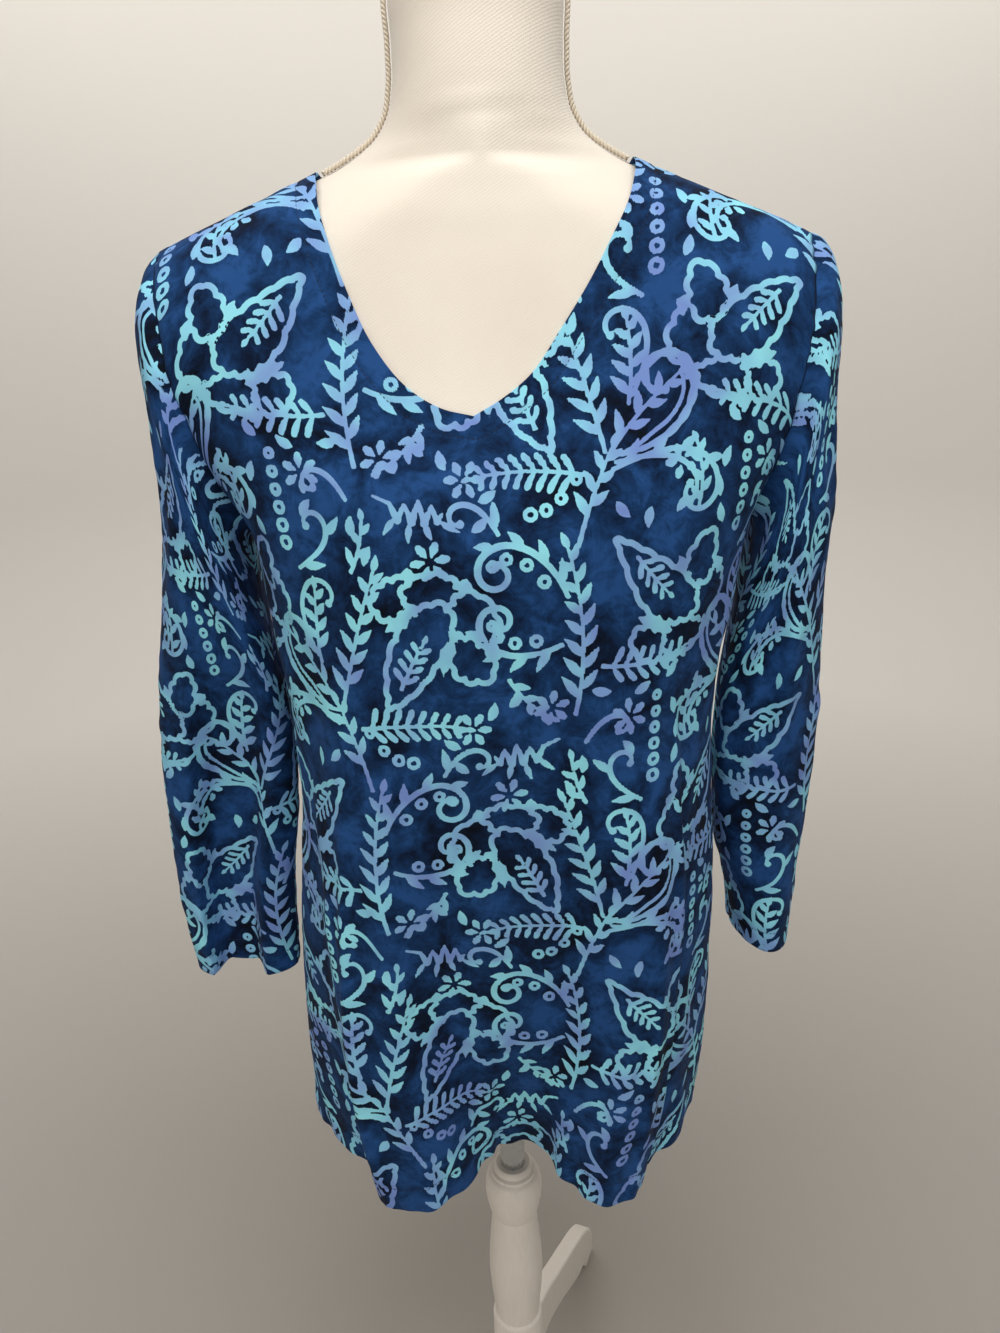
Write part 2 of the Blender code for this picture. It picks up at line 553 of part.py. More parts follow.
def add_leg(name, degrees, parent):
    """A sawn board: its outline stands in the plane of its reach, then its edges are eased."""
    root = POST_PROFILE[4].radius + LEG_ROOT_GAP
    outline = [(root + p.reach, p.z) for p in LEG_TOP + LEG_UNDER]
    half = LEG_THICKNESS / 2
    count = len(outline)
    vertices = [(r, -half, z) for r, z in outline] + [(r, half, z) for r, z in outline]
    faces = [tuple(range(count)), tuple(range(count, 2 * count))[::-1]]
    for i in range(count):
        n = (i + 1) % count
        faces.append((i, i + count, n + count, n))
    item = add_solid(name, vertices, faces, parent)
    item.rotation_euler.z = math.radians(90.0 - degrees)
    return item


def solid_bounds(items):
    """Lowest and highest corners of finished objects in the world."""
    graph = bpy.context.evaluated_depsgraph_get()
    corners = []
    for item in items:
        shape = item.evaluated_get(graph)
        mesh = shape.to_mesh()
        corners += [shape.matrix_world @ v.co for v in mesh.vertices]
        shape.to_mesh_clear()
    corners = np.array(corners)
    return corners.min(axis=0), corners.max(axis=0)


def build():
    for item in list(bpy.data.objects):
        bpy.data.objects.remove(item, do_unlink=True)
    origin = bpy.data.objects.new("origin", None)
    bpy.context.scene.collection.objects.link(origin)

    batik = [
        add_panel("front", -1, FRONT_FOLDS, origin),
        add_panel("back", 1, BACK_FOLDS, origin),
        add_sleeve("sleeve_left", LEFT_RINGS, -1, LEFT_VALLEY_DEG, origin),
        add_sleeve("sleeve_right", RIGHT_RINGS, 1, RIGHT_VALLEY_DEG, origin),
    ]
    for item in batik:
        add_material(item, item.name + "_batik", (0.03, 0.10, 0.22), 0.62)

    form = add_loft("dress_form", [form_ring(level) for level in FORM_LEVELS], origin)
    add_material(form, "cotton_cover", (0.80, 0.74, 0.65), 0.85)
    braids = [
        add_braid("neck_braid_left", NECK_LEFT[0], origin),
        add_braid("neck_braid_right", NECK_RIGHT[-1], origin),
    ]
    for braid in braids:
        add_material(braid, "cotton_braid", (0.72, 0.66, 0.54), 0.9)

    pole_profile = [
        Turn(POST_PROFILE[-1].z + POLE_GAP, POLE_RADIUS),
        Turn(FORM_LEVELS[0].z - POLE_GAP, POLE_RADIUS),
    ]
    pole = add_turning("pole", pole_profile, POLE_SIDES, origin)
    add_material(pole, "chromed_tube", (0.55, 0.56, 0.58), 0.25, 1.0)
    post = add_turning("turned_post", POST_PROFILE, POST_SIDES, origin)
    legs = [add_leg(leg, LEG_FIRST_DEG + 120.0 * i, origin) for i, leg in enumerate(LEG_NAMES)]
    for wood in [post] + legs:
        add_material(wood, "whitewashed_wood", (0.72, 0.69, 0.65), 0.55)

    bpy.context.view_layer.update()
    low, high = solid_bounds(batik + braids + legs + [form, pole, post])
    origin.location = (-(low[0] + high[0]) / 2, -(low[1] + high[1]) / 2, 0.0)
    bpy.context.view_layer.update()


build()
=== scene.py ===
"""Looks of a batik tunic on a covered dress form: cloth, print, knitted cover, braid and stand.

Metres, +Z up, front towards -Y. Points are worked out round the form's plumb axis and then moved
to where the frame's tube stands. The print is charted in millimetres on the flat cloth.
"""

import math
from collections import namedtuple

import bpy
import numpy as np
from mathutils import Matrix, Vector


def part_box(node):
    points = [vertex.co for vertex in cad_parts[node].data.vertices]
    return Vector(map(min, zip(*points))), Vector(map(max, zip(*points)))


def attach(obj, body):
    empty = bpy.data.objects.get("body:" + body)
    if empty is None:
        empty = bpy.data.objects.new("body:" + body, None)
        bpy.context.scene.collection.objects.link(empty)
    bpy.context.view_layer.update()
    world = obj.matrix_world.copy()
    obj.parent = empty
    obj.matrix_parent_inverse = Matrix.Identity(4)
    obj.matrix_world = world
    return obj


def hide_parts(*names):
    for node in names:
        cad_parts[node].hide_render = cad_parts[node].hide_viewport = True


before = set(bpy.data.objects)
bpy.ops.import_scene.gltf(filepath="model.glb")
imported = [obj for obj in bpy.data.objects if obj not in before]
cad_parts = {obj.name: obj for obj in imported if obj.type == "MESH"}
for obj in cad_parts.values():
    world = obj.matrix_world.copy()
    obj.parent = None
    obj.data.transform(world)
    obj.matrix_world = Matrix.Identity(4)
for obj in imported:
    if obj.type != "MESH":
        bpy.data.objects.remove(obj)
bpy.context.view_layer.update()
AXIS = (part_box("pole")[0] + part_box("pole")[1]) / 2

# ---- camera -------------------------------------------------------------------------------
PHOTO_WIDTH = 1000.0
FOCAL_PIXELS = 925.0
CENTRE_PIXEL = (496.9, 666.5)
EYE = (0.0, -0.720, 1.250)          # from the form's axis
PITCH_DEG = 20.0
ROLL_DEG = 1.85
SENSOR_MM = 36.0


def aim_camera():
    pitch = math.radians(PITCH_DEG)
    roll = math.radians(ROLL_DEG)
    ahead = Vector((0.0, math.cos(pitch), -math.sin(pitch)))
    right = Vector((1.0, 0.0, 0.0))
    up = right.cross(ahead)
    right_rolled = math.cos(roll) * right - math.sin(roll) * up
    up_rolled = math.sin(roll) * right + math.cos(roll) * up
    data = bpy.data.cameras.new("camera")
    data.sensor_fit = "HORIZONTAL"
    data.sensor_width = SENSOR_MM
    data.lens = SENSOR_MM * FOCAL_PIXELS / PHOTO_WIDTH
    data.shift_x = (PHOTO_WIDTH / 2 - CENTRE_PIXEL[0]) / PHOTO_WIDTH
    data.clip_start = 0.02
    camera = bpy.data.objects.new("camera", data)
    turn = Matrix((right_rolled, up_rolled, -ahead)).transposed()
    camera.matrix_world = Matrix.Translation(Vector(EYE) + Vector((AXIS.x, AXIS.y, 0.0))) @ turn.to_4x4()
    bpy.context.scene.collection.objects.link(camera)
    bpy.context.scene.camera = camera


# ---- sizes shared with the CAD ------------------------------------------------------------
HEM_Z = 0.550
UNDERARM_Z = 1.115
TIP_Z = 1.310
TIP_X = 0.2275
ARMHOLE_DEPTH = 0.055
ARMHOLE_CURVE = 1.8
NECK_POINT_X = 0.1095
NECK_POINT_Z = 1.357
SHOULDER_SLOPE = (NECK_POINT_Z - TIP_Z) / (TIP_X - NECK_POINT_X)
SHOULDER_ROUND = 0.070
NECK_ROUND = 0.040
SQUARENESS = 2.4
TIP_TURN_FROM = 0.6
ARMHOLE_GAP = 0.0003
UNDERARM_GAP = 0.0008
SEAM = 0.0004
HEAD_EASE = 0.022           # length over which a sleeve eases to the armhole's edge

Level = namedtuple("Level", "z left right front back")
LEVELS = [
    Level(0.550, 0.187, 0.176, 0.098, 0.100),
    Level(0.620, 0.188, 0.184, 0.104, 0.102),
    Level(0.720, 0.185, 0.185, 0.112, 0.102),
    Level(0.800, 0.178, 0.184, 0.119, 0.099),
    Level(0.880, 0.169, 0.179, 0.124, 0.095),
    Level(0.970, 0.169, 0.176, 0.127, 0.092),
    Level(1.050, 0.175, 0.186, 0.127, 0.095),
    Level(1.115, 0.184, 0.197, 0.124, 0.100),
    Level(1.160, 0.200, 0.210, 0.1115, 0.102),
    Level(1.198, 0.208, 0.215, 0.0965, 0.100),
    Level(1.250, 0.220, 0.222, 0.0810, 0.093),
    Level(1.300, 0.2275, 0.2275, 0.0695, 0.083),
    Level(1.357, 0.2275, 0.2275, 0.0620, 0.071),
    Level(1.400, 0.2275, 0.2275, 0.0590, 0.064),
]
Fold = namedtuple("Fold", "name top_z top_x hem_x bow height flat inner outer lean")
FRONT_FOLDS = [
    Fold("left lobe", 1.105, -0.085, -0.088, -0.026, 0.048, 0.016, 0.074, 0.040, 0.005),
    Fold("right lobe", 1.105, 0.085, 0.084, 0.024, 0.048, 0.010, 0.062, 0.040, 0.005),
    Fold("centre trough", 0.700, 0.002, 0.004, 0.0, -0.024, 0.014, 0.040, 0.044, 0.0),
    Fold("left side swell", 0.850, -0.134, -0.134, 0.0, 0.010, 0.006, 0.036, 0.030, 0.0),
    Fold("right side swell", 0.950, 0.132, 0.136, 0.0, 0.016, 0.012, 0.038, 0.030, 0.0),
]
BACK_FOLDS = [
    Fold("left lobe", 1.060, -0.070, -0.092, -0.010, 0.034, 0.008, 0.056, 0.044, 0.004),
    Fold("right lobe", 1.060, 0.078, 0.098, 0.012, 0.032, 0.008, 0.060, 0.040, 0.004),
    Fold("centre lobe", 0.860, 0.006, 0.003, 0.0, 0.014, 0.006, 0.036, 0.036, 0.0),
]
FOLD_ONSET = 0.07           # share of its height over which a fold sets in
EdgePoint = namedtuple("EdgePoint", "x z")
NECK_LEFT = [
    EdgePoint(-0.1130, 1.3556), EdgePoint(-0.1098, 1.3468), EdgePoint(-0.1070, 1.3316),
    EdgePoint(-0.1011, 1.3107), EdgePoint(-0.0898, 1.2777), EdgePoint(-0.0745, 1.2437),
    EdgePoint(-0.0509, 1.2147), EdgePoint(-0.0317, 1.2031), EdgePoint(-0.0100, 1.1975),
]
NECK_RIGHT = [
    EdgePoint(-0.0100, 1.1975), EdgePoint(0.0076, 1.2068), EdgePoint(0.0277, 1.2216),
    EdgePoint(0.0480, 1.2485), EdgePoint(0.0682, 1.2783), EdgePoint(0.0849, 1.3078),
    EdgePoint(0.0950, 1.3270), EdgePoint(0.1010, 1.3445), EdgePoint(0.1050, 1.3588),
]
BACK_NECK_DROP = 0.010
BACK_NECK_FLATNESS = 0.8
Ring = namedtuple("Ring", "out_x out_z in_x in_z mid_y front back valley")
LEFT_RINGS = [
    Ring(TIP_X, TIP_Z, 0.1840, UNDERARM_Z, 0.000, 0.055, 0.055, 0.000),
    Ring(0.2380, 1.298, 0.1905, 1.105, 0.000, 0.059, 0.058, 0.000),
    Ring(0.2450, 1.275, 0.1905, 1.090, 0.000, 0.061, 0.060, 0.000),
    Ring(0.2485, 1.240, 0.1890, 1.072, 0.000, 0.060, 0.060, 0.000),
    Ring(0.2495, 1.200, 0.1870, 1.052, 0.000, 0.058, 0.058, 0.001),
    Ring(0.2510, 1.160, 0.1845, 1.030, 0.000, 0.055, 0.056, 0.003),
    Ring(0.2555, 1.115, 0.1815, 1.006, 0.000, 0.051, 0.053, 0.007),
    Ring(0.2650, 1.060, 0.1765, 0.980, 0.001, 0.046, 0.048, 0.013),
    Ring(0.2760, 1.005, 0.1740, 0.950, 0.002, 0.040, 0.043, 0.019),
    Ring(0.2850, 0.945, 0.1745, 0.905, 0.003, 0.034, 0.038, 0.024),
    Ring(0.2915, 0.880, 0.1780, 0.860, 0.004, 0.030, 0.034, 0.028),
    Ring(0.2940, 0.815, 0.1870, 0.805, 0.005, 0.027, 0.031, 0.030),
    Ring(0.2930, 0.755, 0.1910, 0.750, 0.005, 0.025, 0.029, 0.030),
    Ring(0.2885, 0.700, 0.1935, 0.700, 0.005, 0.025, 0.028, 0.029),
]
RIGHT_RINGS = [
    Ring(TIP_X, TIP_Z, 0.1970, UNDERARM_Z, 0.000, 0.055, 0.055, 0.000),
    Ring(0.2400, 1.303, 0.2030, 1.105, 0.000, 0.059, 0.058, 0.000),
    Ring(0.2480, 1.286, 0.2030, 1.090, 0.000, 0.061, 0.060, 0.000),
    Ring(0.2525, 1.257, 0.2010, 1.072, 0.000, 0.060, 0.060, 0.000),
    Ring(0.2550, 1.218, 0.1985, 1.052, 0.000, 0.058, 0.058, 0.002),
    Ring(0.2585, 1.170, 0.1960, 1.029, 0.000, 0.056, 0.056, 0.005),
    Ring(0.2625, 1.115, 0.1925, 1.004, 0.002, 0.053, 0.054, 0.008),
    Ring(0.2635, 1.060, 0.1885, 0.976, 0.004, 0.050, 0.052, 0.009),
    Ring(0.2660, 1.000, 0.1855, 0.941, 0.006, 0.048, 0.050, 0.007),
    Ring(0.2685, 0.940, 0.1850, 0.900, 0.009, 0.047, 0.048, 0.005),
    Ring(0.2690, 0.885, 0.1875, 0.860, 0.012, 0.047, 0.047, 0.003),
    Ring(0.2680, 0.825, 0.1925, 0.815, 0.017, 0.049, 0.046, 0.001),
    Ring(0.2660, 0.770, 0.2050, 0.768, 0.022, 0.052, 0.047, 0.000),
    Ring(0.2640, 0.717, 0.2130, 0.717, 0.027, 0.056, 0.050, 0.000),
]
# the valley down the front of each sleeve: its place round the sleeve at the head and at the cuff
LEFT_VALLEY_DEG = (103.0, 80.0)
RIGHT_VALLEY_DEG = (118.0, 112.0)
VALLEY_HALF_DEG = (46.0, 34.0)
VALLEY_OUTER = 0.8          # the valley's outer slope is the steeper one
VALLEY_INNER = 1.15
VALLEY_CRISP = 0.8          # how much crisper its walls get towards the cuff
HEAD_RINGS = 4.0
FormLevel = namedtuple("FormLevel", "z half front back plate square")
FORM_INSET = 0.0030
FORM_LEVELS = [
    FormLevel(0.690, 0.152, 0.088, 0.092, 0.000, 2.3),
    FormLevel(0.696, 0.158, 0.094, 0.098, 0.000, 2.3),
    FormLevel(0.730, 0.162, 0.100, 0.088, 0.000, 2.3),
    FormLevel(0.780, 0.160, 0.101, 0.090, 0.000, 2.3),
    FormLevel(0.840, 0.145, 0.093, 0.084, 0.000, 2.2),
    FormLevel(0.900, 0.125, 0.085, 0.076, 0.000, 2.2),
    FormLevel(0.950, 0.119, 0.084, 0.074, 0.000, 2.2),
    FormLevel(1.010, 0.128, 0.095, 0.080, 0.000, 2.2),
    FormLevel(1.060, 0.141, 0.112, 0.086, 0.000, 2.2),
    FormLevel(1.100, 0.150, 0.118, 0.092, 0.004, 2.3),
    FormLevel(1.140, 0.160, 0.1135, 0.096, 0.018, 2.3),
    FormLevel(1.180, 0.174, 0.1010, 0.098, 0.034, 2.4),
    FormLevel(1.220, 0.188, 0.0875, 0.0945, 0.045, 2.4),
    FormLevel(1.260, 0.197, 0.0765, 0.0890, 0.051, 2.4),
    FormLevel(1.290, 0.200, 0.0700, 0.0830, 0.051, 2.4),
    FormLevel(1.308, 0.199, 0.0665, 0.0795, 0.050, 2.4),
    FormLevel(1.322, 0.184, 0.0645, 0.0765, 0.044, 2.4),
    FormLevel(1.336, 0.149, 0.0620, 0.0735, 0.036, 2.2),
    FormLevel(1.347, 0.122, 0.0605, 0.0700, 0.024, 2.0),
    FormLevel(1.3545, 0.104, 0.0595, 0.0660, 0.000, 1.3),
    FormLevel(1.361, 0.091, 0.0590, 0.0630, 0.000, 1.4),
    FormLevel(1.371, 0.075, 0.0580, 0.0600, 0.000, 1.6),
    FormLevel(1.386, 0.063, 0.0575, 0.0580, 0.000, 1.9),
    FormLevel(1.405, 0.0580, 0.0570, 0.0570, 0.000, 2.0),
    FormLevel(1.430, 0.0570, 0.0560, 0.0560, 0.000, 2.0),
    FormLevel(1.462, 0.0570, 0.0550, 0.0550, 0.000, 2.0),
    FormLevel(1.4720, 0.0545, 0.0525, 0.0525, 0.000, 2.0),
    FormLevel(1.4755, 0.0490, 0.0470, 0.0470, 0.000, 2.0),
]
SHOULDER_TOP_ROW_Z = 1.3495
Turn = namedtuple("Turn", "z radius")
POST_PROFILE = [
    Turn(0.0640, 0.0060), Turn(0.0650, 0.0110), Turn(0.0720, 0.0180), Turn(0.0840, 0.0240),
    Turn(0.0940, 0.0268), Turn(0.2290, 0.0268), Turn(0.2325, 0.0258), Turn(0.2345, 0.0238),
    Turn(0.2520, 0.0251), Turn(0.2800, 0.0274), Turn(0.3100, 0.0284), Turn(0.3350, 0.0270),
    Turn(0.3600, 0.0249), Turn(0.3790, 0.0232), Turn(0.3820, 0.0224), Turn(0.3850, 0.0240),
    Turn(0.3950, 0.0266), Turn(0.4070, 0.0285), Turn(0.4190, 0.0290), Turn(0.4280, 0.0278),
    Turn(0.4340, 0.0256), Turn(0.4360, 0.0228), Turn(0.4395, 0.0226), Turn(0.4410, 0.0198),
    Turn(0.4445, 0.0194), Turn(0.4470, 0.0170),
]

# ---- grid counts of the cloth -------------------------------------------------------------
SHOULDER_COLUMNS = 52
NECK_COLUMNS = 62
NECK_SAMPLES = 3000
SKIRT_ROWS = 262
YOKE_ROWS = 116
YOKE_FINE_ROWS = 240
SECTION_POINTS = 1441
SLEEVE_COLUMNS = 190
SLEEVE_ROWS = 400
TURNED_ROWS = 12            # rows of the hem turned up inside
FACING_ROWS = 6
ALLOWANCE_COLUMNS = 3
TURN_INSET = 0.0013         # how far the turned layer lies inside the outer one
HEM_STITCH = 0.024          # topstitch above the hem
NECK_STITCH = 0.015
CUFF_STITCH = 0.020


def smooth_curve(knots, values, at):
    """A cubic through the knots, its slope at each knot taken from the neighbours."""
    knots = np.asarray(knots, float)
    values = np.asarray(values, float)
    at = np.clip(at, knots[0], knots[-1])
    slopes = np.gradient(values, knots)
    cell = np.clip(np.searchsorted(knots, at, side="right") - 1, 0, len(knots) - 2)
    width = knots[cell + 1] - knots[cell]
    t = (at - knots[cell]) / width
    rise = values[cell + 1] - values[cell]
    a = slopes[cell] * width - rise
    b = rise - slopes[cell + 1] * width
    return values[cell] + t * rise + t * (1 - t) * (a * (1 - t) + b * t)


def column(table, name, at):
    return smooth_curve([row.z for row in table], [getattr(row, name) for row in table], at)


def soft_step(t):
    t = np.clip(t, 0.0, 1.0)
    return t * t * (3.0 - 2.0 * t)


def run_along(points):
    """How far along a line each of its points lies."""
    steps = np.linalg.norm(np.diff(points, axis=0), axis=1)
    return np.concatenate([[0.0], np.cumsum(steps)])


def even_points(points, count):
    length = run_along(points)
    at = np.linspace(0.0, length[-1], count)
    return np.stack([np.interp(at, length, points[:, axis]) for axis in range(points.shape[1])], axis=1)


def shoulder_height(x):
    return NECK_POINT_Z - SHOULDER_SLOPE * (np.abs(x) - NECK_POINT_X)


def armhole_x(side_x, z):
    rise = np.clip((z - UNDERARM_Z) / (TIP_Z - UNDERARM_Z), 0.0, 1.0)
    return TIP_X - (TIP_X - side_x) * (1.0 - rise) ** ARMHOLE_CURVE


def underarm_x(x):
    return np.where(x < 0, LEFT_RINGS[0].in_x, RIGHT_RINGS[0].in_x)


def cut_section(across, depth, edge, square):
    reach = across ** square * (1.0 - (edge / depth) ** square)
    return depth * np.clip(1.0 - reach, 0.0, 1.0) ** (1 / square)


def armhole_edge_depth(z):
    rise = np.clip((z - UNDERARM_Z) / (TIP_Z - UNDERARM_Z), 0.0, 1.0)
    low = 1.0 - np.minimum(2.0 * rise, 1.0)
    return ARMHOLE_DEPTH * np.sqrt(1.0 - low ** 2)


def yoke_depth(ratio, x, z, depth):
    across = np.abs(ratio)
    section = cut_section(across, depth, armhole_edge_depth(z), SQUARENESS)
    mid_round = NECK_ROUND + (SHOULDER_ROUND - NECK_ROUND) * soft_step(np.abs(x) / NECK_POINT_X)
    tip_round = (TIP_Z - UNDERARM_Z) / 2.0
    turn = mid_round + (tip_round - mid_round) * soft_step((across - TIP_TURN_FROM) / (1.0 - TIP_TURN_FROM))
    fall = 1.0 - np.clip((shoulder_height(x) - z) / turn, 0.0, 1.0)
    return section * np.sqrt(np.clip(1.0 - fall ** 2, 0.0, 1.0))


def skirt_section(z, face, folds, count):
    """Points across a panel at one height, and their places on the flat cloth."""
    angle = np.linspace(-math.pi / 2, math.pi / 2, SECTION_POINTS)
    across = np.sign(angle) * np.abs(np.sin(angle)) ** (2 / SQUARENESS)
    depth = column(LEVELS, "front" if face < 0 else "back", z)
    base_x = np.where(across < 0, column(LEVELS, "left", z), column(LEVELS, "right", z)) * across
    x = base_x.copy()
    out = depth * np.clip(np.cos(angle), 0.0, 1.0) ** (2 / SQUARENESS)
    for fold in folds:
        risen = np.clip((fold.top_z - z) / (fold.top_z - HEM_Z), 0.0, 1.0)
        if risen == 0.0:
            continue
        grown = (risen - FOLD_ONSET * (1.0 - math.exp(-risen / FOLD_ONSET))) / (1.0 - FOLD_ONSET)
        crest = fold.top_x + (fold.hem_x - fold.top_x) * risen + fold.bow * math.sin(math.pi * risen)
        away = (base_x - crest) * (1.0 if crest >= 0 else -1.0)
        reach = np.where(away > 0, fold.outer, fold.inner)
        swell = soft_step((reach - np.abs(away)) / (reach - fold.flat))
        out = out + fold.height * grown * swell
        x = x + math.copysign(fold.lean * grown, crest) * swell
    section = np.stack([x, face * out, np.full_like(x, z)], axis=1)
    length = run_along(section)
    middle = length[SECTION_POINTS // 2]
    return even_points(section, count), np.linspace(0.0, length[-1], count) - middle


def smooth_outline(points, count):
    """A smooth line through the points of a table."""
    rough = np.array(points)
    length = run_along(rough)
    fine = np.linspace(0.0, length[-1], count)
    return np.stack([smooth_curve(length, rough[:, axis], fine) for axis in range(2)], axis=1)


def even_on_cloth(points, face, count):
    """Places of the front view along a line, spaced evenly on the cloth itself."""
    x, z = points[:, 0], points[:, 1]
    depth = column(LEVELS, "front" if face < 0 else "back", z)
    y = yoke_depth(x / armhole_x(underarm_x(x), z), x, z, depth)
    length = run_along(np.stack([x, y, z], axis=1))
    at = np.linspace(0.0, length[-1], count)
    return np.stack([np.interp(at, length, x), np.interp(at, length, z)], axis=1)


def top_edge(face):
    """Upper edge of a panel in front view, shoulder tip to shoulder tip."""
    left, right = NECK_LEFT[0], NECK_RIGHT[-1]
    shoulders = []
    for x_sign, neck in ((-1, left), (1, right)):
        x = np.linspace(abs(neck.x), TIP_X, SHOULDER_COLUMNS + 1)
        shoulders.append(np.stack([x_sign * x, shoulder_height(x)], axis=1))
    if face < 0:
        outlines = [smooth_outline(edge, NECK_SAMPLES) for edge in (NECK_LEFT, NECK_RIGHT)]
        neck = [even_points(outline, NECK_SAMPLES) for outline in outlines]
    else:
        middle = (left.x + right.x) / 2
        bottom = NECK_POINT_Z - BACK_NECK_DROP
        angle = np.linspace(0.0, math.pi / 2, NECK_SAMPLES)
        neck = []
        for end in (left, right):
            x = middle + (end.x - middle) * np.cos(angle)
            z = end.z + (bottom - end.z) * np.sin(angle) ** BACK_NECK_FLATNESS
            neck.append(np.stack([x, z], axis=1))
        neck[1] = neck[1][::-1]
    neck = [even_on_cloth(half, face, NECK_COLUMNS + 1) for half in neck]
    return np.concatenate([shoulders[0][::-1][:-1], neck[0][:-1], neck[1][:-1], shoulders[1]])


def arc_across(ratio, z, face):
    """How far the cloth runs from the centre line to a point, round the chest at its height."""
    shares = np.linspace(0.0, 1.0, 48)
    across = np.abs(ratio)[..., None] * shares
    depth = column(LEVELS, "front" if face < 0 else "back", z)[..., None]
    x = across * armhole_x(underarm_x(ratio), z)[..., None]
    y = cut_section(across, depth, armhole_edge_depth(z)[..., None], SQUARENESS)
    run = np.hypot(np.diff(x, axis=-1), np.diff(y, axis=-1)).sum(axis=-1)
    return np.sign(ratio) * run


def panel_grid(face, folds):
    """A panel's cloth, rows from hem to top, with the place of each point on the flat cloth."""
    top = top_edge(face)
    count = len(top)
    rows, flat = [], []
    for z in np.linspace(HEM_Z, UNDERARM_Z, SKIRT_ROWS + 1):
        points, across = skirt_section(z, face, folds, count)
        rows.append(points)
        flat.append(np.stack([across, np.full(count, z)], axis=1))
    low_x = rows[-1][:, 0]
    low_ratio = low_x / underarm_x(low_x)
    high_ratio = top[:, 0] / armhole_x(underarm_x(top[:, 0]), top[:, 1])
    fine = []
    for g in (1.0 - np.cos(np.linspace(0.0, math.pi, YOKE_FINE_ROWS + 1))) / 2.0:
        z = UNDERARM_Z + (top[:, 1] - UNDERARM_Z) * g
        ratio = low_ratio + (high_ratio - low_ratio) * g
        x = ratio * armhole_x(underarm_x(ratio), z)
        depth = column(LEVELS, "front" if face < 0 else "back", z)
        y = face * yoke_depth(ratio, x, z, depth)
        fine.append(np.stack([x, y, z, arc_across(ratio, z, face)], axis=1))
    fine = np.array(fine)
    rise = np.hypot(np.diff(fine[:, :, 1], axis=0), np.diff(fine[:, :, 2], axis=0))
    rise = np.concatenate([np.zeros((1, count)), np.cumsum(rise, axis=0)])
    fine = np.concatenate([fine, UNDERARM_Z + rise[:, :, None]], axis=2)
    yoke = np.stack([even_points(fine[:, c], YOKE_ROWS + 1) for c in range(count)], axis=1)[1:]
    grid = np.concatenate([np.array(rows), yoke[:, :, :3]])
    flat = np.concatenate([np.array(flat), yoke[:, :, 3:]])
    grid[:, :, 1] = face * np.maximum(face * grid[:, :, 1], SEAM / 2)
    return grid, flat


def sleeve_grid(rings, x_sign, valley_deg):
    """A sleeve's cloth from armhole to cuff, laid open along its seam under the arm."""
    angle = np.linspace(-math.pi, math.pi, SLEEVE_COLUMNS + 1)
    keys = np.arange(len(rings), dtype=float)
    swing = np.cos(angle)
    rows = []
    for at in np.linspace(0.0, len(rings) - 1, SLEEVE_ROWS + 1):
        ring = Ring(*[float(smooth_curve(keys, values, at)) for values in zip(*rings)])
        x = (ring.out_x + ring.in_x) / 2 + (ring.out_x - ring.in_x) / 2 * swing
        z = (ring.out_z + ring.in_z) / 2 + (ring.out_z - ring.in_z) / 2 * swing
        head = max(0.0, 1.0 - at / HEAD_RINGS)
        share = np.clip((1.0 - swing) / 2, 0.0, 1.0)
        x = x + (TIP_X - rings[0].in_x) * (share - share ** ARMHOLE_CURVE) * head
        depth = np.where(np.sin(angle) > 0, ring.front, ring.back)
        lower = soft_step(at / (len(rings) - 1) * 1.6 - 0.6)
        middle = valley_deg[0] + (valley_deg[1] - valley_deg[0]) * lower
        half = VALLEY_HALF_DEG[0] + (VALLEY_HALF_DEG[1] - VALLEY_HALF_DEG[0]) * lower
        off = np.degrees(angle) - middle
        slope = np.where(off < 0.0, VALLEY_OUTER, VALLEY_INNER) * half
        pressed = soft_step((1.0 + VALLEY_CRISP * lower) * (1.0 - np.abs(off) / slope))
        y = ring.mid_y - depth * np.sin(angle) + ring.valley * pressed
        gap = max(0.0, 1.0 - at / 0.8)
        x = x + (ARMHOLE_GAP + UNDERARM_GAP * share ** 2) * gap
        rows.append(np.stack([x_sign * x, y, z], axis=1))
    grid = np.array(rows)
    across = np.linalg.norm(np.diff(grid, axis=1), axis=2)
    across = np.concatenate([np.zeros((len(grid), 1)), np.cumsum(across, axis=1)], axis=1)
    across -= across[:, SLEEVE_COLUMNS // 2][:, None]
    down = np.linalg.norm(np.diff(grid, axis=0), axis=2)
    down = np.concatenate([np.zeros((1, SLEEVE_COLUMNS + 1)), np.cumsum(down, axis=0)], axis=0)
    down = down + (TIP_Z - grid[0, :, 2])[None, :]
    return grid, np.stack([x_sign * across, -down], axis=2)


def grid_normals(grid):
    along = np.gradient(grid, axis=1)
    up = np.gradient(grid, axis=0)
    normal = np.cross(along, up)
    return normal / np.maximum(np.linalg.norm(normal, axis=2, keepdims=True), 1e-12)


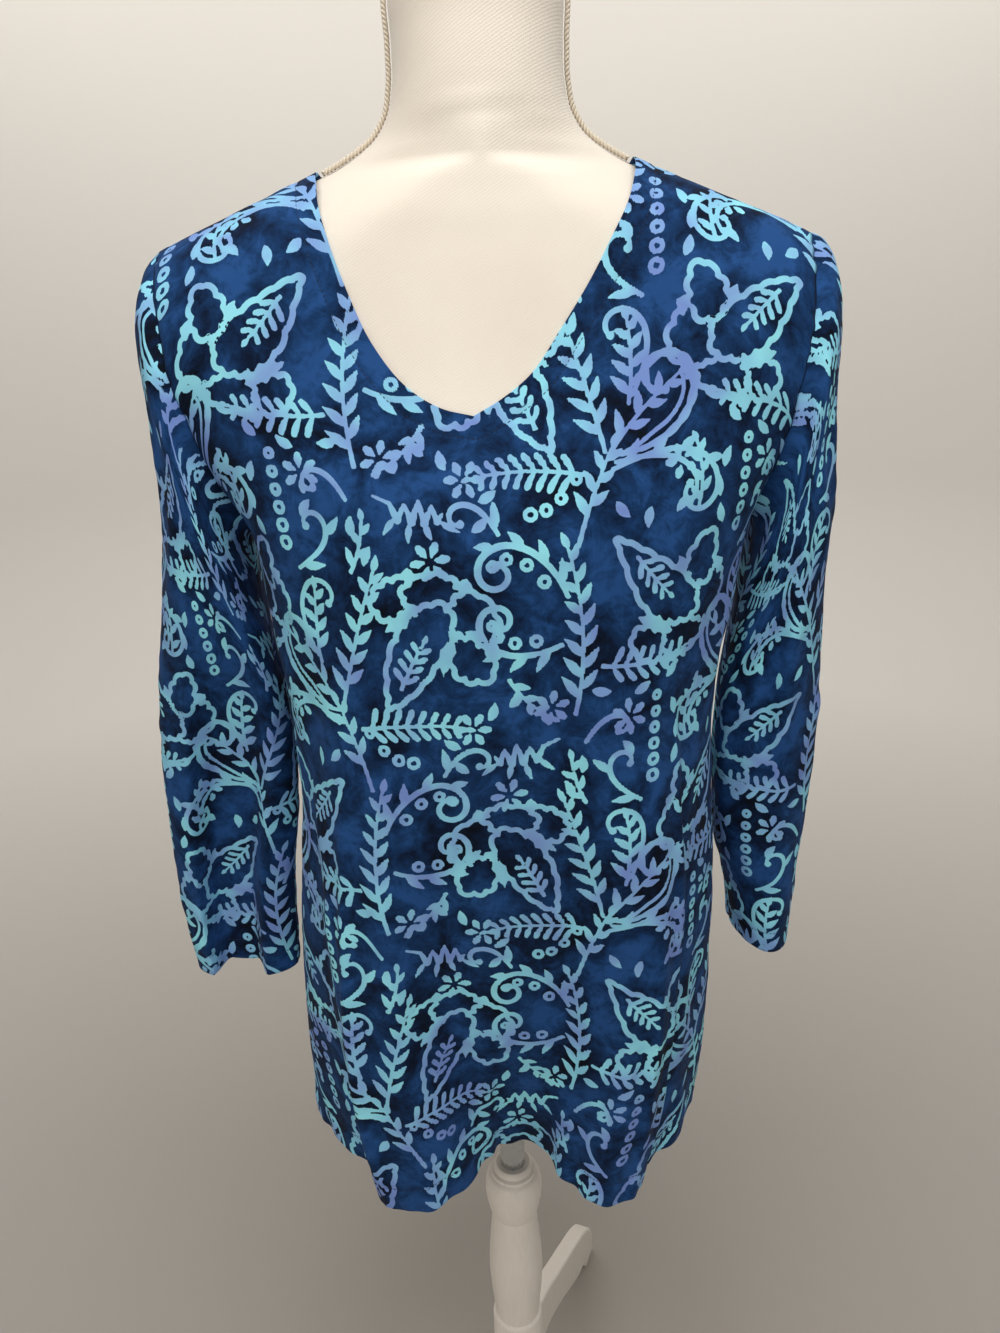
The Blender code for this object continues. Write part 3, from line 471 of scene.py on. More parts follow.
# ---- creases -------------------------------------------------------------------------------
# Places on the flat cloth in millimetres from the centre line and the floor: where each crease
# starts and ends, how far it bows aside, its half width, and its height (below nought: a trough)
Crease = namedtuple("Crease", "x0 z0 x1 z1 bow width height")
FRONT_CREASES = [
    Crease(-134, 440, -114, 990, 10, 6.5, 5.0),
    Crease(128, 1060, 152, 440, 10, 6.5, 5.0),
    Crease(-20, 470, -16, 730, 4, 8, 3.4),
    Crease(8, 480, 4, 660, 0, 11, -2.8),
    Crease(96, 820, 106, 500, 5, 9, 2.6),
    Crease(-72, 480, -56, 690, 7, 12, 2.0),
    Crease(54, 690, 64, 480, -5, 11, 2.0),
    Crease(-172, 470, -158, 640, 6, 10, 2.4),
    Crease(-104, 900, -96, 700, 5, 10, 1.5),
    Crease(-205, 1120, -120, 1010, 12, 13, 2.2),
    Crease(-190, 1150, -95, 1085, -10, 15, 1.5),
    Crease(-215, 1080, -160, 930, 8, 14, 1.8),
    Crease(212, 1125, 130, 1020, -12, 13, 2.2),
    Crease(200, 1155, 100, 1100, 9, 15, 1.5),
    Crease(222, 1085, 168, 940, -8, 13, 1.8),
    Crease(-168, 980, -150, 700, 6, 11, 2.0),
    Crease(172, 985, 150, 760, -6, 12, 1.8),
    Crease(-60, 1010, -40, 760, -9, 20, 1.2),
    Crease(45, 1000, 30, 740, 8, 20, 1.2),
    Crease(-20, 900, -30, 560, 6, 16, 1.3),
    Crease(70, 860, 62, 600, 5, 14, 1.1),
    Crease(-190, 760, -160, 590, 5, 12, 1.8),
    Crease(186, 780, 174, 480, -5, 12, 2.0),
    Crease(-150, 1290, -190, 1180, 7, 16, 0.9),
    Crease(155, 1295, 196, 1190, -7, 16, 0.9),
    Crease(-60, 1190, -110, 1120, 6, 16, 0.8),
    Crease(60, 1185, 115, 1110, -6, 16, 0.8),
]
BACK_CREASES = [
    Crease(-200, 1130, -110, 1020, 12, 15, 2.0),
    Crease(205, 1130, 115, 1010, -12, 15, 2.0),
    Crease(-120, 1240, 110, 1236, 10, 18, 1.2),
    Crease(-60, 1320, 70, 1316, -6, 12, 1.0),
    Crease(-30, 1180, -60, 820, 10, 20, 1.6),
    Crease(45, 1160, 64, 800, -9, 20, 1.5),
    Crease(-130, 960, -140, 660, 6, 15, 1.6),
    Crease(140, 960, 146, 680, -6, 15, 1.6),
    Crease(8, 930, 4, 480, 5, 14, 1.8),
    Crease(-70, 760, -84, 470, 5, 11, 2.2),
    Crease(74, 740, 88, 470, -5, 11, 2.2),
    Crease(-180, 840, -170, 620, 5, 12, 1.4),
    Crease(180, 850, 172, 640, -5, 12, 1.4),
]
SLEEVE_CREASES = [
    Crease(60, -95, 20, -230, 10, 11, 2.3),
    Crease(95, -150, 40, -260, -8, 12, 2.6),
    Crease(-70, -110, -30, -250, -9, 12, 2.0),
    Crease(75, -240, 62, -420, 7, 10, 2.6),
    Crease(22, -280, 30, -520, -7, 13, 1.9),
    Crease(-40, -260, -30, -480, 8, 13, 1.9),
    Crease(-80, -300, -70, -500, -6, 11, 1.9),
    Crease(85, -330, 30, -345, 5, 9, 1.4),
    Crease(-10, -360, 45, -392, 5, 9, 1.3),
    Crease(-25, -560, 40, -548, 4, 10, 1.0),
    Crease(0, -12, 14, -120, 4, 12, 1.3),
    Crease(-34, -20, -22, -110, -4, 10, 1.2),
    Crease(36, -22, 30, -100, 4, 10, 1.2),
]


def crease_field(flat_mm, creases):
    """Height of all creases at each place on the flat cloth, in metres."""
    x, z = flat_mm[..., 0], flat_mm[..., 1]
    field = np.zeros(x.shape)
    for c in creases:
        run_x, run_z = c.x1 - c.x0, c.z1 - c.z0
        length = math.hypot(run_x, run_z)
        t = ((x - c.x0) * run_x + (z - c.z0) * run_z) / length ** 2
        inside = np.clip(t, 0.0, 1.0)
        side = ((z - c.z0) * run_x - (x - c.x0) * run_z) / length - 4.0 * c.bow * inside * (1.0 - inside)
        fade = soft_step(t / 0.35) * soft_step((1.0 - t) / 0.35)
        across = side / c.width
        ridge = np.exp(-across ** 2) - 0.45 * np.exp(-((across - 1.7) / 1.1) ** 2)
        field += c.height * 0.001 * fade * ridge
    return field


def ripple(x, z, size, seed):
    """Smooth uneven swells about size across, from -1 to 1."""
    draw = np.random.default_rng(seed)
    total = np.zeros(np.shape(x))
    for _ in range(9):
        turn = draw.uniform(0.0, 2.0 * math.pi)
        rate = draw.uniform(0.6, 1.5) * 2.0 * math.pi / size
        total += np.sin(rate * (x * math.cos(turn) + z * math.sin(turn)) + draw.uniform(0.0, 6.28))
    return total / 4.5


def near(distance, width):
    return np.exp(-(distance / width) ** 2)


def pucker(height, away, reach, x, z, size, seed):
    """Ripples that fade with the distance from an edge."""
    return height * near(away, reach) * ripple(x, z, size, seed)


BROAD_RIPPLE = 0.0006
FINE_RIPPLE = 0.00028


# ---- the print -----------------------------------------------------------------------------
# A wax-resist repeat of common motifs, laid out for this cloth: leafy stems, scalloped blossoms,
# curls, ferns, florets, rings and a jagged crown. Its depth field is worked out on a fine grid
# and read at each point of the cloth, so the shader can put a crisp edge on it.
TILE_WIDTH = 276.0
TILE_HEIGHT = 288.0
TILE_STEP = 0.5
PRINT_SCALE = 1.2           # millimetres on the cloth for one of the chart
REACH = 7.0                 # how far round a shape its depth is worked out
CROWD_SPREAD = 10.0         # over how much cloth the crowd of motifs is judged
CROWDED = 0.46              # share of wax at which the cloth counts as full


def window(low_x, low_z, high_x, high_z):
    """Grid places around a box, in millimetres."""
    columns = np.arange(math.floor((low_x - REACH) / TILE_STEP), math.ceil((high_x + REACH) / TILE_STEP) + 1)
    rows = np.arange(math.floor((low_z - REACH) / TILE_STEP), math.ceil((high_z + REACH) / TILE_STEP) + 1)
    return np.meshgrid(columns * TILE_STEP, rows * TILE_STEP)


def merge(tile, x, z, depth):
    """Lay a shape over the tile, wrapped round it: the deeper of both holds."""
    rows = np.round(z / TILE_STEP).astype(int) % tile.shape[0]
    columns = np.round(x / TILE_STEP).astype(int) % tile.shape[1]
    np.maximum.at(tile, (rows, columns), depth)


def draw_stroke(tile, points, radii):
    """A wax stroke whose width changes along its line."""
    for (ax, az), (bx, bz), ra, rb in zip(points[:-1], points[1:], radii[:-1], radii[1:]):
        x, z = window(min(ax, bx), min(az, bz), max(ax, bx), max(az, bz))
        run = (bx - ax) ** 2 + (bz - az) ** 2 + 1e-9
        t = np.clip(((x - ax) * (bx - ax) + (z - az) * (bz - az)) / run, 0.0, 1.0)
        away = np.hypot(x - ax - t * (bx - ax), z - az - t * (bz - az))
        merge(tile, x, z, ra + (rb - ra) * t - away)


def polygon_depth(points, x, z):
    """How deep each grid place lies inside a closed outline, below nought outside it."""
    inside = np.zeros(x.shape, bool)
    away = np.full(x.shape, 1e9)
    for (ax, az), (bx, bz) in zip(points, np.roll(points, -1, axis=0)):
        run = (bx - ax) ** 2 + (bz - az) ** 2 + 1e-9
        t = np.clip(((x - ax) * (bx - ax) + (z - az) * (bz - az)) / run, 0.0, 1.0)
        away = np.minimum(away, np.hypot(x - ax - t * (bx - ax), z - az - t * (bz - az)))
        if az != bz:
            inside ^= ((az > z) != (bz > z)) & (x < (bx - ax) * (z - az) / (bz - az) + ax)
    return np.where(inside, away, -away)


def bent_path(x, z, heading, length, bend, curl=0.0, count=16, rush=3.0):
    """A line that sets off along a heading and turns by bend, ever faster with curl (degrees)."""
    s = np.linspace(0.0, 1.0, count)
    turn = np.radians(heading + bend * s + curl * s ** rush)
    step = length / (count - 1)
    px = x + np.concatenate([[0.0], np.cumsum(np.cos(turn[:-1]))]) * step
    pz = z + np.concatenate([[0.0], np.cumsum(np.sin(turn[:-1]))]) * step
    return np.stack([px, pz], axis=1), np.degrees(turn)


def side_path(path, headings, off):
    """The line that runs beside a path at an offset to its left."""
    a = np.radians(np.asarray(headings) + 90.0)
    off = np.broadcast_to(off, len(path))
    return path + np.stack([np.cos(a) * off, np.sin(a) * off], axis=1)


def draw_leaf(tile, x, z, heading, length, half, bend=14.0):
    points, _ = bent_path(x, z, heading, length, bend, count=7)
    draw_stroke(tile, points, half * np.array([0.2, 0.66, 0.97, 1.0, 0.8, 0.46, 0.08]))


def draw_finger(tile, x, z, heading, length, half):
    """A blunt lobe of a fern, widest near its end."""
    points, _ = bent_path(x, z, heading, length, 16.0, count=5)
    draw_stroke(tile, points, half * np.array([0.5, 0.62, 0.86, 1.0, 0.86]))


def draw_spray(tile, path, headings, leaf, half, gap, stem, spread=40.0, first=0.1, fingers=False):
    """A stem with leaves or lobes on its sides, smaller towards its tip."""
    count = len(path)
    draw_stroke(tile, path, np.linspace(stem, stem * 0.65, count))
    length = np.linalg.norm(np.diff(path, axis=0), axis=1).sum()
    pairs = max(2, int(length * (1.0 - first) / gap))
    for i in range(pairs):
        for side in (1, -1):
            at = min(1.0, first + (1.0 - first) * (i + (0.0 if fingers or side > 0 else 0.45)) / pairs)
            k = at * (count - 1)
            x = np.interp(k, np.arange(count), path[:, 0])
            z = np.interp(k, np.arange(count), path[:, 1])
            heading = np.interp(k, np.arange(count), headings)
            size = (1.0 - 0.42 * at ** 1.5) * (1.0 + 0.07 * math.sin(7.0 * i + side))
            draw = draw_finger if fingers else draw_leaf
            draw(tile, x, z, heading + side * spread, leaf * size, half * (0.6 + 0.4 * size))
    draw_leaf(tile, path[-1, 0], path[-1, 1], headings[-1], leaf * 0.6, half * 0.8)


def draw_ring(tile, x, z, radius, half=1.3):
    turn = np.linspace(0.0, 2.0 * math.pi, 11)
    points = np.stack([x + radius * np.cos(turn), z + radius * np.sin(turn)], axis=1)
    draw_stroke(tile, points, np.full(11, half))


def draw_curl(tile, x, z, heading, length, bend, curl, half, fingers=0, rings=0, leaves=0, twin=0.0, lobes=0):
    """A line that rolls up into a spiral with a round end, dressed with lobes, rings or leaves."""
    count = 72
    path, headings = bent_path(x, z, heading, length, bend, curl, count)
    s = np.linspace(0.0, 1.0, count)
    wave = 0.5 * np.abs(np.sin(lobes * math.pi * s)) * soft_step(s / 0.5) if lobes else 0.0
    draw_stroke(tile, path, half * (0.7 + 0.45 * np.sin(0.2 + 2.6 * s) + wave))
    draw_stroke(tile, [path[-1], path[-1] + 0.2], [half * 1.5, half * 1.5])
    inner = math.copysign(1.0, bend + curl)
    if twin:
        last = int(0.62 * count)
        beside = side_path(path, headings, inner * twin * soft_step(s / 0.25))[:last]
        draw_stroke(tile, beside, half * np.linspace(0.8, 0.62, last))
    for i in range(fingers):
        k = int(count * (0.10 + 0.40 * i / max(fingers - 1, 1)))
        start = side_path(path[k:k + 1], headings[k:k + 1], inner * (twin + 0.6))[0]
        draw_finger(tile, *start, headings[k] + inner * 50.0, 11.5 - 1.0 * i, 2.3)
    for i in range(rings):
        k = int(count * (0.14 + 0.46 * i / max(rings - 1, 1)))
        spot = side_path(path[k:k + 1], headings[k:k + 1], inner * 7.4)[0]
        draw_ring(tile, *spot, 2.8 - 0.16 * i)
    for i in range(leaves):
        k = int(count * (0.08 + 0.42 * i / max(leaves - 1, 1)))
        draw_leaf(tile, *path[k], headings[k] - inner * 34.0, 15.0 - 1.3 * i, 2.7)


def draw_floret(tile, x, z, petals, radius, turn):
    for i in range(petals):
        a = turn + 360.0 * i / petals
        px = x + 3.2 * math.cos(math.radians(a))
        pz = z + 3.2 * math.sin(math.radians(a))
        points, _ = bent_path(px, pz, a, radius - 4.8, 0.0, count=4)
        draw_stroke(tile, points, [0.7, 1.7, 2.5, 1.9])


Cell = namedtuple("Cell", "u v long short turn scallops point")
# a flower head: the heart first, then the petals fanned round it
CELLS = [
    Cell(6.0, -6.0, 27.0, 16.0, -62.0, 15, 0.9),
    Cell(-23.0, -7.0, 12.0, 8.5, 70.0, 8, 0.0),
    Cell(-24.0, 15.0, 14.0, 9.5, 35.0, 9, 0.0),
    Cell(-4.0, 27.0, 12.5, 9.5, -5.0, 9, 0.0),
    Cell(17.0, 24.0, 10.0, 8.0, -40.0, 8, 0.0),
]
BLOSSOM_SIZE = 1.14
BETWEEN_CELLS = 6.5         # the wax fills the gaps narrower than this between two cells


def scalloped(cell, seed):
    """A closed outline with rounded scallops of uneven size, drawn out to a point where told."""
    a = np.linspace(0.0, 2.0 * math.pi, cell.scallops * 7, endpoint=False)
    warped = a + 0.6 * np.sin(2 * a + seed) / cell.scallops * 2.0
    wave = 2.0 * np.abs(np.sin(warped * cell.scallops / 2.0)) ** 0.7
    swell = 1.0 + 0.09 * np.sin(2 * a + seed) + 0.07 * np.sin(3 * a + 2 * seed)
    narrow = (1.0 - cell.point) + cell.point * np.abs(np.sin(a / 2.0)) ** 0.9
    px = (cell.long * swell + wave) * np.cos(a)
    pz = (cell.short * swell + wave) * np.sin(a) * narrow
    c, s = math.cos(math.radians(cell.turn)), math.sin(math.radians(cell.turn))
    return np.stack([c * px - s * pz, s * px + c * pz], axis=1)


def draw_blossom(tile, x, z, turn, mirror, line=1.75):
    """A flower head of scalloped cells: the wax stands in their rims and between them."""
    c, s = math.cos(math.radians(turn)), math.sin(math.radians(turn))

    def place(u, v):
        return x + mirror * BLOSSOM_SIZE * (c * u - s * v), z + BLOSSOM_SIZE * (s * u + c * v)

    outlines = []
    for i, cell in enumerate(CELLS):
        shape = scalloped(cell, i * 1.7 + turn)
        outlines.append(np.stack(place(cell.u + shape[:, 0], cell.v + shape[:, 1]), axis=1))
    every = np.concatenate(outlines)
    gx, gz = window(*every.min(0), *every.max(0))
    depths = [polygon_depth(outline, gx, gz) for outline in outlines]
    wax = np.full(gx.shape, -REACH)
    for depth in depths[::-1]:
        wax = np.where(depth > 0.0, line - depth, np.maximum(wax, depth + line))
    nearest = np.sort(depths, axis=0)
    between = np.where(nearest[-1] > 0.0, -REACH, nearest[-2] + BETWEEN_CELLS)
    merge(tile, gx, gz, np.maximum(wax, between))
    return place


def draw_plant(tile, left, base, mirror):
    """One plant: a winding leafy stem with two blossoms, curls, ferns and small fillings."""
    def at(x, z):
        return left + mirror * x, base + z

    def way(heading):
        return heading if mirror > 0 else 180.0 - heading

    def stem(x, z, heading, length, bend, leaf=15.0, half=2.8, gap=12.0, first=0.1, spread=40.0, fingers=False):
        path, headings = bent_path(*at(x, z), way(heading), length, mirror * bend, 0.0, 24)
        draw_spray(tile, path, headings, leaf, half, gap, 1.3, spread, first, fingers)

    def fern(x, z, heading, length, bend, lobe=10.0):
        stem(x, z, heading, length, bend, leaf=lobe, half=2.1, gap=6.6, spread=58.0, fingers=True)

    def curl(x, z, heading, length, bend, roll, half=1.7, **dress):
        draw_curl(tile, *at(x, z), way(heading), length, mirror * bend, mirror * roll, half, **dress)

    def blossom(x, z, turn, sprig_way):
        place = draw_blossom(tile, *at(x, z), turn, mirror)
        angle = math.radians(sprig_way)
        sx, sz = place(6.0 - 17.0 * math.cos(angle), -6.0 - 17.0 * math.sin(angle))
        path, headings = bent_path(sx, sz, way(sprig_way + turn), 30.0, mirror * 8.0, 0.0, 12)
        draw_spray(tile, path, headings, 8.5, 1.9, 6.2, 1.2, 50.0, 0.12, True)

    # stems
    stem(60.0, -8.0, 78.0, 98.0, 30.0, leaf=16.0)
    stem(62.0, 90.0, 74.0, 56.0, -10.0, leaf=15.0, first=0.3)
    stem(78.0, 140.0, 104.0, 86.0, 6.0, leaf=16.0, first=0.12)
    stem(80.0, 138.0, 56.0, 58.0, -22.0, leaf=15.0, first=0.2)
    # flower heads and ferns
    blossom(25.0, 179.0, 2.0, 112.0)
    fern(66.0, 128.0, 168.0, 62.0, 24.0, lobe=11.0)
    blossom(117.0, 61.0, 196.0, 112.0)
    fern(76.0, 20.0, 352.0, 58.0, 26.0, lobe=10.5)
    # curls
    curl(82.0, 138.0, 2.0, 126.0, 104.0, 280.0, half=1.7, twin=6.0, lobes=12)
    curl(82.0, 130.0, 24.0, 116.0, -50.0, -300.0, half=1.6, leaves=4)
    curl(84.0, 134.0, 12.0, 66.0, -30.0, -120.0, half=1.5)
    curl(56.0, 62.0, 112.0, 108.0, 92.0, 350.0, half=1.8, rings=4, leaves=4)
    curl(52.0, 34.0, 204.0, 96.0, -84.0, -340.0, half=1.8, rings=4, leaves=4)
    # fillings
    crown = [
        (12, 254), (15, 250), (18, 258), (22, 249), (25, 261), (29, 250), (33, 259), (37, 251), (41, 260), (50, 264),
    ]
    draw_stroke(tile, [at(*p) for p in crown], [0.6, 2.2, 0.9, 2.4, 0.9, 2.5, 0.9, 2.3, 1.2, 0.6])
    for x, z, heading, length in ((14, 250, 215, 13), (22, 249, 255, 10), (30, 249, 285, 11), (38, 252, 315, 12)):
        draw_leaf(tile, *at(x, z), way(heading), length, 1.9)
    for x, z, petals, radius, turn in (
        (20, 228, 6, 11.0, 10), (92, 276, 6, 11.0, 35), (46, 284, 6, 10.5, 20), (122, 132, 5, 9.5, 40),
        (0, 128, 6, 10.5, 0),
    ):
        draw_floret(tile, *at(x, z), petals, radius, turn)
    for i in range(6):
        draw_ring(tile, *at(108.0 + 0.5 * i, 236.0 + 10.0 * i), 3.2 - 0.2 * i, 1.45)
    for x, z, heading in (
        (124, 240, 60), (128, 255, 75), (126, 271, 95), (8, 116, 20), (58, 226, 100), (64, 242, 80), (94, 252, 110),
        (10, 278, 60), (22, 286, 40), (84, 112, 300), (104, 108, 250), (118, 8, 40), (4, 100, 30), (128, 112, 210),
        (70, 6, 340), (96, 2, 20),
    ):
        draw_leaf(tile, *at(x, z), way(heading), 11.0, 2.9, 30.0 * mirror)
    curl(100.0, 222.0, 150.0, 56.0, -30.0, -250.0, half=1.5, leaves=2)
    curl(18.0, 98.0, 120.0, 46.0, 30.0, 240.0, half=1.5, leaves=1)
    curl(66.0, 262.0, 60.0, 44.0, -30.0, -250.0, half=1.5)
    stem(66.0, 222.0, 118.0, 30.0, -24.0, leaf=11.0, half=2.3, gap=9.0)
    for i in range(4):
        draw_ring(tile, *at(36.0 + 8.5 * i, 108.0 + 2.0 * i * i), 2.9 - 0.2 * i, 1.3)
    stem(134.0, 106.0, 80.0, 36.0, 30.0, leaf=11.0, half=2.4, gap=9.0)
    stem(22.0, 14.0, 300.0, 34.0, 30.0, leaf=10.0, half=2.3, gap=9.0)
    stem(92.0, 166.0, 82.0, 44.0, 18.0, leaf=14.0, half=2.7, gap=9.5, spread=46.0)
    curl(94.0, 170.0, 62.0, 74.0, 40.0, 230.0, half=1.5)


def build_print():
    """The tile's wax depth in millimetres, and how bare the cloth is round each place."""
    wax = np.full((round(TILE_HEIGHT / TILE_STEP), round(TILE_WIDTH / TILE_STEP)), -REACH)
    draw_plant(wax, 0.0, 0.0, 1.0)
    draw_plant(wax, TILE_WIDTH, TILE_HEIGHT / 2.0, -1.0)
    spread = CROWD_SPREAD / TILE_STEP
    rows = np.fft.fftfreq(wax.shape[0])[:, None]
    columns = np.fft.fftfreq(wax.shape[1])[None, :]
    blur = np.exp(-2.0 * (math.pi * spread) ** 2 * (rows ** 2 + columns ** 2))
    crowd = np.fft.ifft2(np.fft.fft2((wax > 0.0).astype(float)) * blur).real
    return wax, 1.0 - np.clip(crowd / CROWDED, 0.0, 1.0)


def read_tile(tile, flat_mm):
    """The tile's value at each place on the flat cloth, between its grid places."""
    column_at = flat_mm[..., 0] / PRINT_SCALE / TILE_STEP
    row_at = flat_mm[..., 1] / PRINT_SCALE / TILE_STEP
    c0, r0 = np.floor(column_at).astype(int), np.floor(row_at).astype(int)
    fc, fr = column_at - c0, row_at - r0
    height, width = tile.shape
    value = 0.0
    for dr, row_share in ((0, 1 - fr), (1, fr)):
        for dc, column_share in ((0, 1 - fc), (1, fc)):
            value = value + tile[(r0 + dr) % height, (c0 + dc) % width] * (row_share * column_share)
    return value


SLOPE_STEP = 0.4            # millimetres over which the print's slope is taken


def print_planes(tile, places):
    """The wax depth round each place as a plane: its slope both ways and its height at nought.

    The material blends the planes of a face's corners, so lines finer than the mesh stay crisp.
    """
    height = read_tile(tile, places) * PRINT_SCALE
    slopes = []
    for aside in ((SLOPE_STEP, 0.0), (0.0, SLOPE_STEP)):
        rise = read_tile(tile, places + np.array(aside)) - read_tile(tile, places - np.array(aside))
        slopes.append(rise * PRINT_SCALE / (2.0 * SLOPE_STEP))
    height = height - slopes[0] * places[..., 0] - slopes[1] * places[..., 1]
    return np.stack([slopes[0], slopes[1], height], axis=2)


# ---- meshes --------------------------------------------------------------------------------
def add_mesh(name, vertices, faces, material, smooth=True):
    mesh = bpy.data.meshes.new(name)
    moved = np.asarray(vertices, float).reshape(-1, 3) + np.array([AXIS.x, AXIS.y, 0.0])
    mesh.from_pydata(moved.tolist(), [], faces.tolist() if isinstance(faces, np.ndarray) else faces)
    mesh.materials.append(material)
    if smooth:
        mesh.shade_smooth()
    mesh.update()
    item = bpy.data.objects.new(name, mesh)
    bpy.context.scene.collection.objects.link(item)
    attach(item, "root")
    return item


def quads(rows, columns, wrap=False, offset=0, flip=False):
    """Faces over a grid of points."""
    span = columns if wrap else columns - 1
    r, c = np.meshgrid(np.arange(rows - 1), np.arange(span), indexing="ij")
    n = (c + 1) % columns
    low, low_next = offset + r * columns + c, offset + r * columns + n
    faces = np.stack([low, low_next, low_next + columns, low + columns], axis=2).reshape(-1, 4)
    return faces[:, ::-1] if flip else faces


def tube_faces(rows, columns, flip=False):
    """Faces of a tube over a grid of points, with both its ends."""
    low, high = list(range(columns)), list(range((rows - 1) * columns, rows * columns))
    ends = [low, high[::-1]] if flip else [low[::-1], high]
    return quads(rows, columns, wrap=True).tolist() + ends


def short_diagonals(faces, points):
    """Start each face at the corner from which its shorter diagonal runs."""
    corner = points[faces]
    first = np.linalg.norm(corner[:, 0] - corner[:, 2], axis=1)
    second = np.linalg.norm(corner[:, 1] - corner[:, 3], axis=1)
    return np.where((second < first)[:, None], np.roll(faces, 1, axis=1), faces)


def add_values(item, name, kind, values):
    """Store one value for each point under a name that the materials read."""
    layer = item.data.attributes.new(name, kind, "POINT")
    field = "vector" if kind == "FLOAT_VECTOR" else "value"
    layer.data.foreach_set(field, np.ascontiguousarray(values, np.float32).ravel())


def turned_values(values, bottom, top, sides):
    """Values of a grid, carried on over the parts that are turned inside."""
    shape = np.concatenate([values[1:bottom + 1][::-1], values[:1], values, values[-1 - top:-1][::-1]])
    return np.concatenate([shape[:, 1:sides + 1][:, ::-1], shape, shape[:, -1 - sides:-1][:, ::-1]], axis=1)


def turned_layers(grid, normal, bottom, top, sides):
    """Add the cloth that is turned inside at the hem, the neck and the seams."""
    inset = grid - normal * TURN_INSET
    edge = grid[:1] - normal[:1] * TURN_INSET / 2 - np.array([0.0, 0.0, TURN_INSET / 2])
    shape = np.concatenate([inset[1:bottom + 1][::-1], edge, grid, inset[-1 - top:-1][::-1]])
    inner = shape - turned_values(normal, bottom, top, 0) * TURN_INSET
    return np.concatenate([inner[:, 1:sides + 1][:, ::-1], shape, inner[:, -1 - sides:-1][:, ::-1]], axis=1)


def add_cloth(name, grid, normal, flat, wax, bare, shift, turned, material):
    """A cloth piece: its outer face and the parts turned inside, with its places in the print."""
    shape = turned_layers(grid, normal, *turned)
    places = turned_values(flat, *turned) * 1000.0
    places = places + np.array(shift)
    points = shape.reshape(-1, 3)
    item = add_mesh(name, points, short_diagonals(quads(*shape.shape[:2]), points), material)
    add_values(item, "wax_plane", "FLOAT_VECTOR", print_planes(wax, places))
    add_values(item, "bare", "FLOAT", read_tile(bare, places))
    cut = np.concatenate([places, np.ones(places.shape[:2] + (1,))], axis=2)
    add_values(item, "cut", "FLOAT_VECTOR", cut)
    return item


def edge_distance(grid, first):
    """How far each row lies from the first (or last) row, along the cloth."""
    steps = np.linalg.norm(np.diff(grid, axis=0), axis=2)
    if first:
        return np.concatenate([np.zeros((1, grid.shape[1])), np.cumsum(steps, axis=0)])
    back = np.cumsum(steps[::-1], axis=0)[::-1]
    return np.concatenate([back, np.zeros((1, grid.shape[1]))])


def side_distance(grid):
    steps = np.linalg.norm(np.diff(grid, axis=1), axis=2)
    zero = np.zeros((grid.shape[0], 1))
    left = np.concatenate([zero, np.cumsum(steps, axis=1)], axis=1)
    right = np.concatenate([np.cumsum(steps[:, ::-1], axis=1)[:, ::-1], zero], axis=1)
    return left, right


def neck_distance(grid):
    """How far each point of a panel lies from the neck's edge."""
    edge = grid[-1, SHOULDER_COLUMNS:-SHOULDER_COLUMNS]
    away = np.full(grid.shape[:2], 1.0)
    for point in edge:
        away[SKIRT_ROWS:] = np.minimum(away[SKIRT_ROWS:], np.linalg.norm(grid[SKIRT_ROWS:] - point, axis=2))
    return away


def shape_panel(face, folds, creases, seed):
    """A panel with its creases, seam puckers and hem."""
    grid, flat = panel_grid(face, folds)
    normal = -face * grid_normals(grid)
    x, z = flat[..., 0], flat[..., 1]
    lift = crease_field(flat * 1000.0, creases)
    lift += BROAD_RIPPLE * ripple(x, z, size=0.075, seed=seed)
    lift += FINE_RIPPLE * ripple(x, z, size=0.024, seed=seed + 1)
    up = edge_distance(grid, True)
    down = edge_distance(grid, False)
    left, right = side_distance(grid)
    # the hem draws in along its topstitch and ruffles a little below it
    lift -= 0.0007 * near(up - HEM_STITCH, width=0.0024)
    lift += pucker(0.0012, up - 0.008, 0.014, x, z * 0.2, size=0.020, seed=seed + 2)
    lift += pucker(0.0016, up, 0.045, x, z * 0.25, size=0.038, seed=seed + 7)
    # side seams sink in, with puckers that fade into the cloth
    for away, side_seed in ((left, 3), (right, 4)):
        lift -= 0.0009 * near(away, width=0.0030)
        lift += pucker(0.0012, away, 0.014, away, z, size=0.034, seed=side_seed)
        lift += pucker(0.0011, away, 0.010, away * 0.5, z, size=0.017, seed=side_seed + 5)
    if face < 0:
        lift -= 0.0005 * near(neck_distance(grid) - NECK_STITCH, width=0.0020)
    quiet = soft_step(down / 0.012)
    grid = grid + normal * (lift * (0.25 + 0.75 * quiet))[..., None]
    grid[:, :, 1] = face * np.maximum(face * grid[:, :, 1], SEAM / 2)
    hem_wave = 0.0014 * ripple(x[0], x[0] * 0.0, size=0.032, seed=seed + 6)
    grid[:, :, 2] += hem_wave[None, :] * near(up, width=0.03)
    return grid, -face * grid_normals(grid), flat


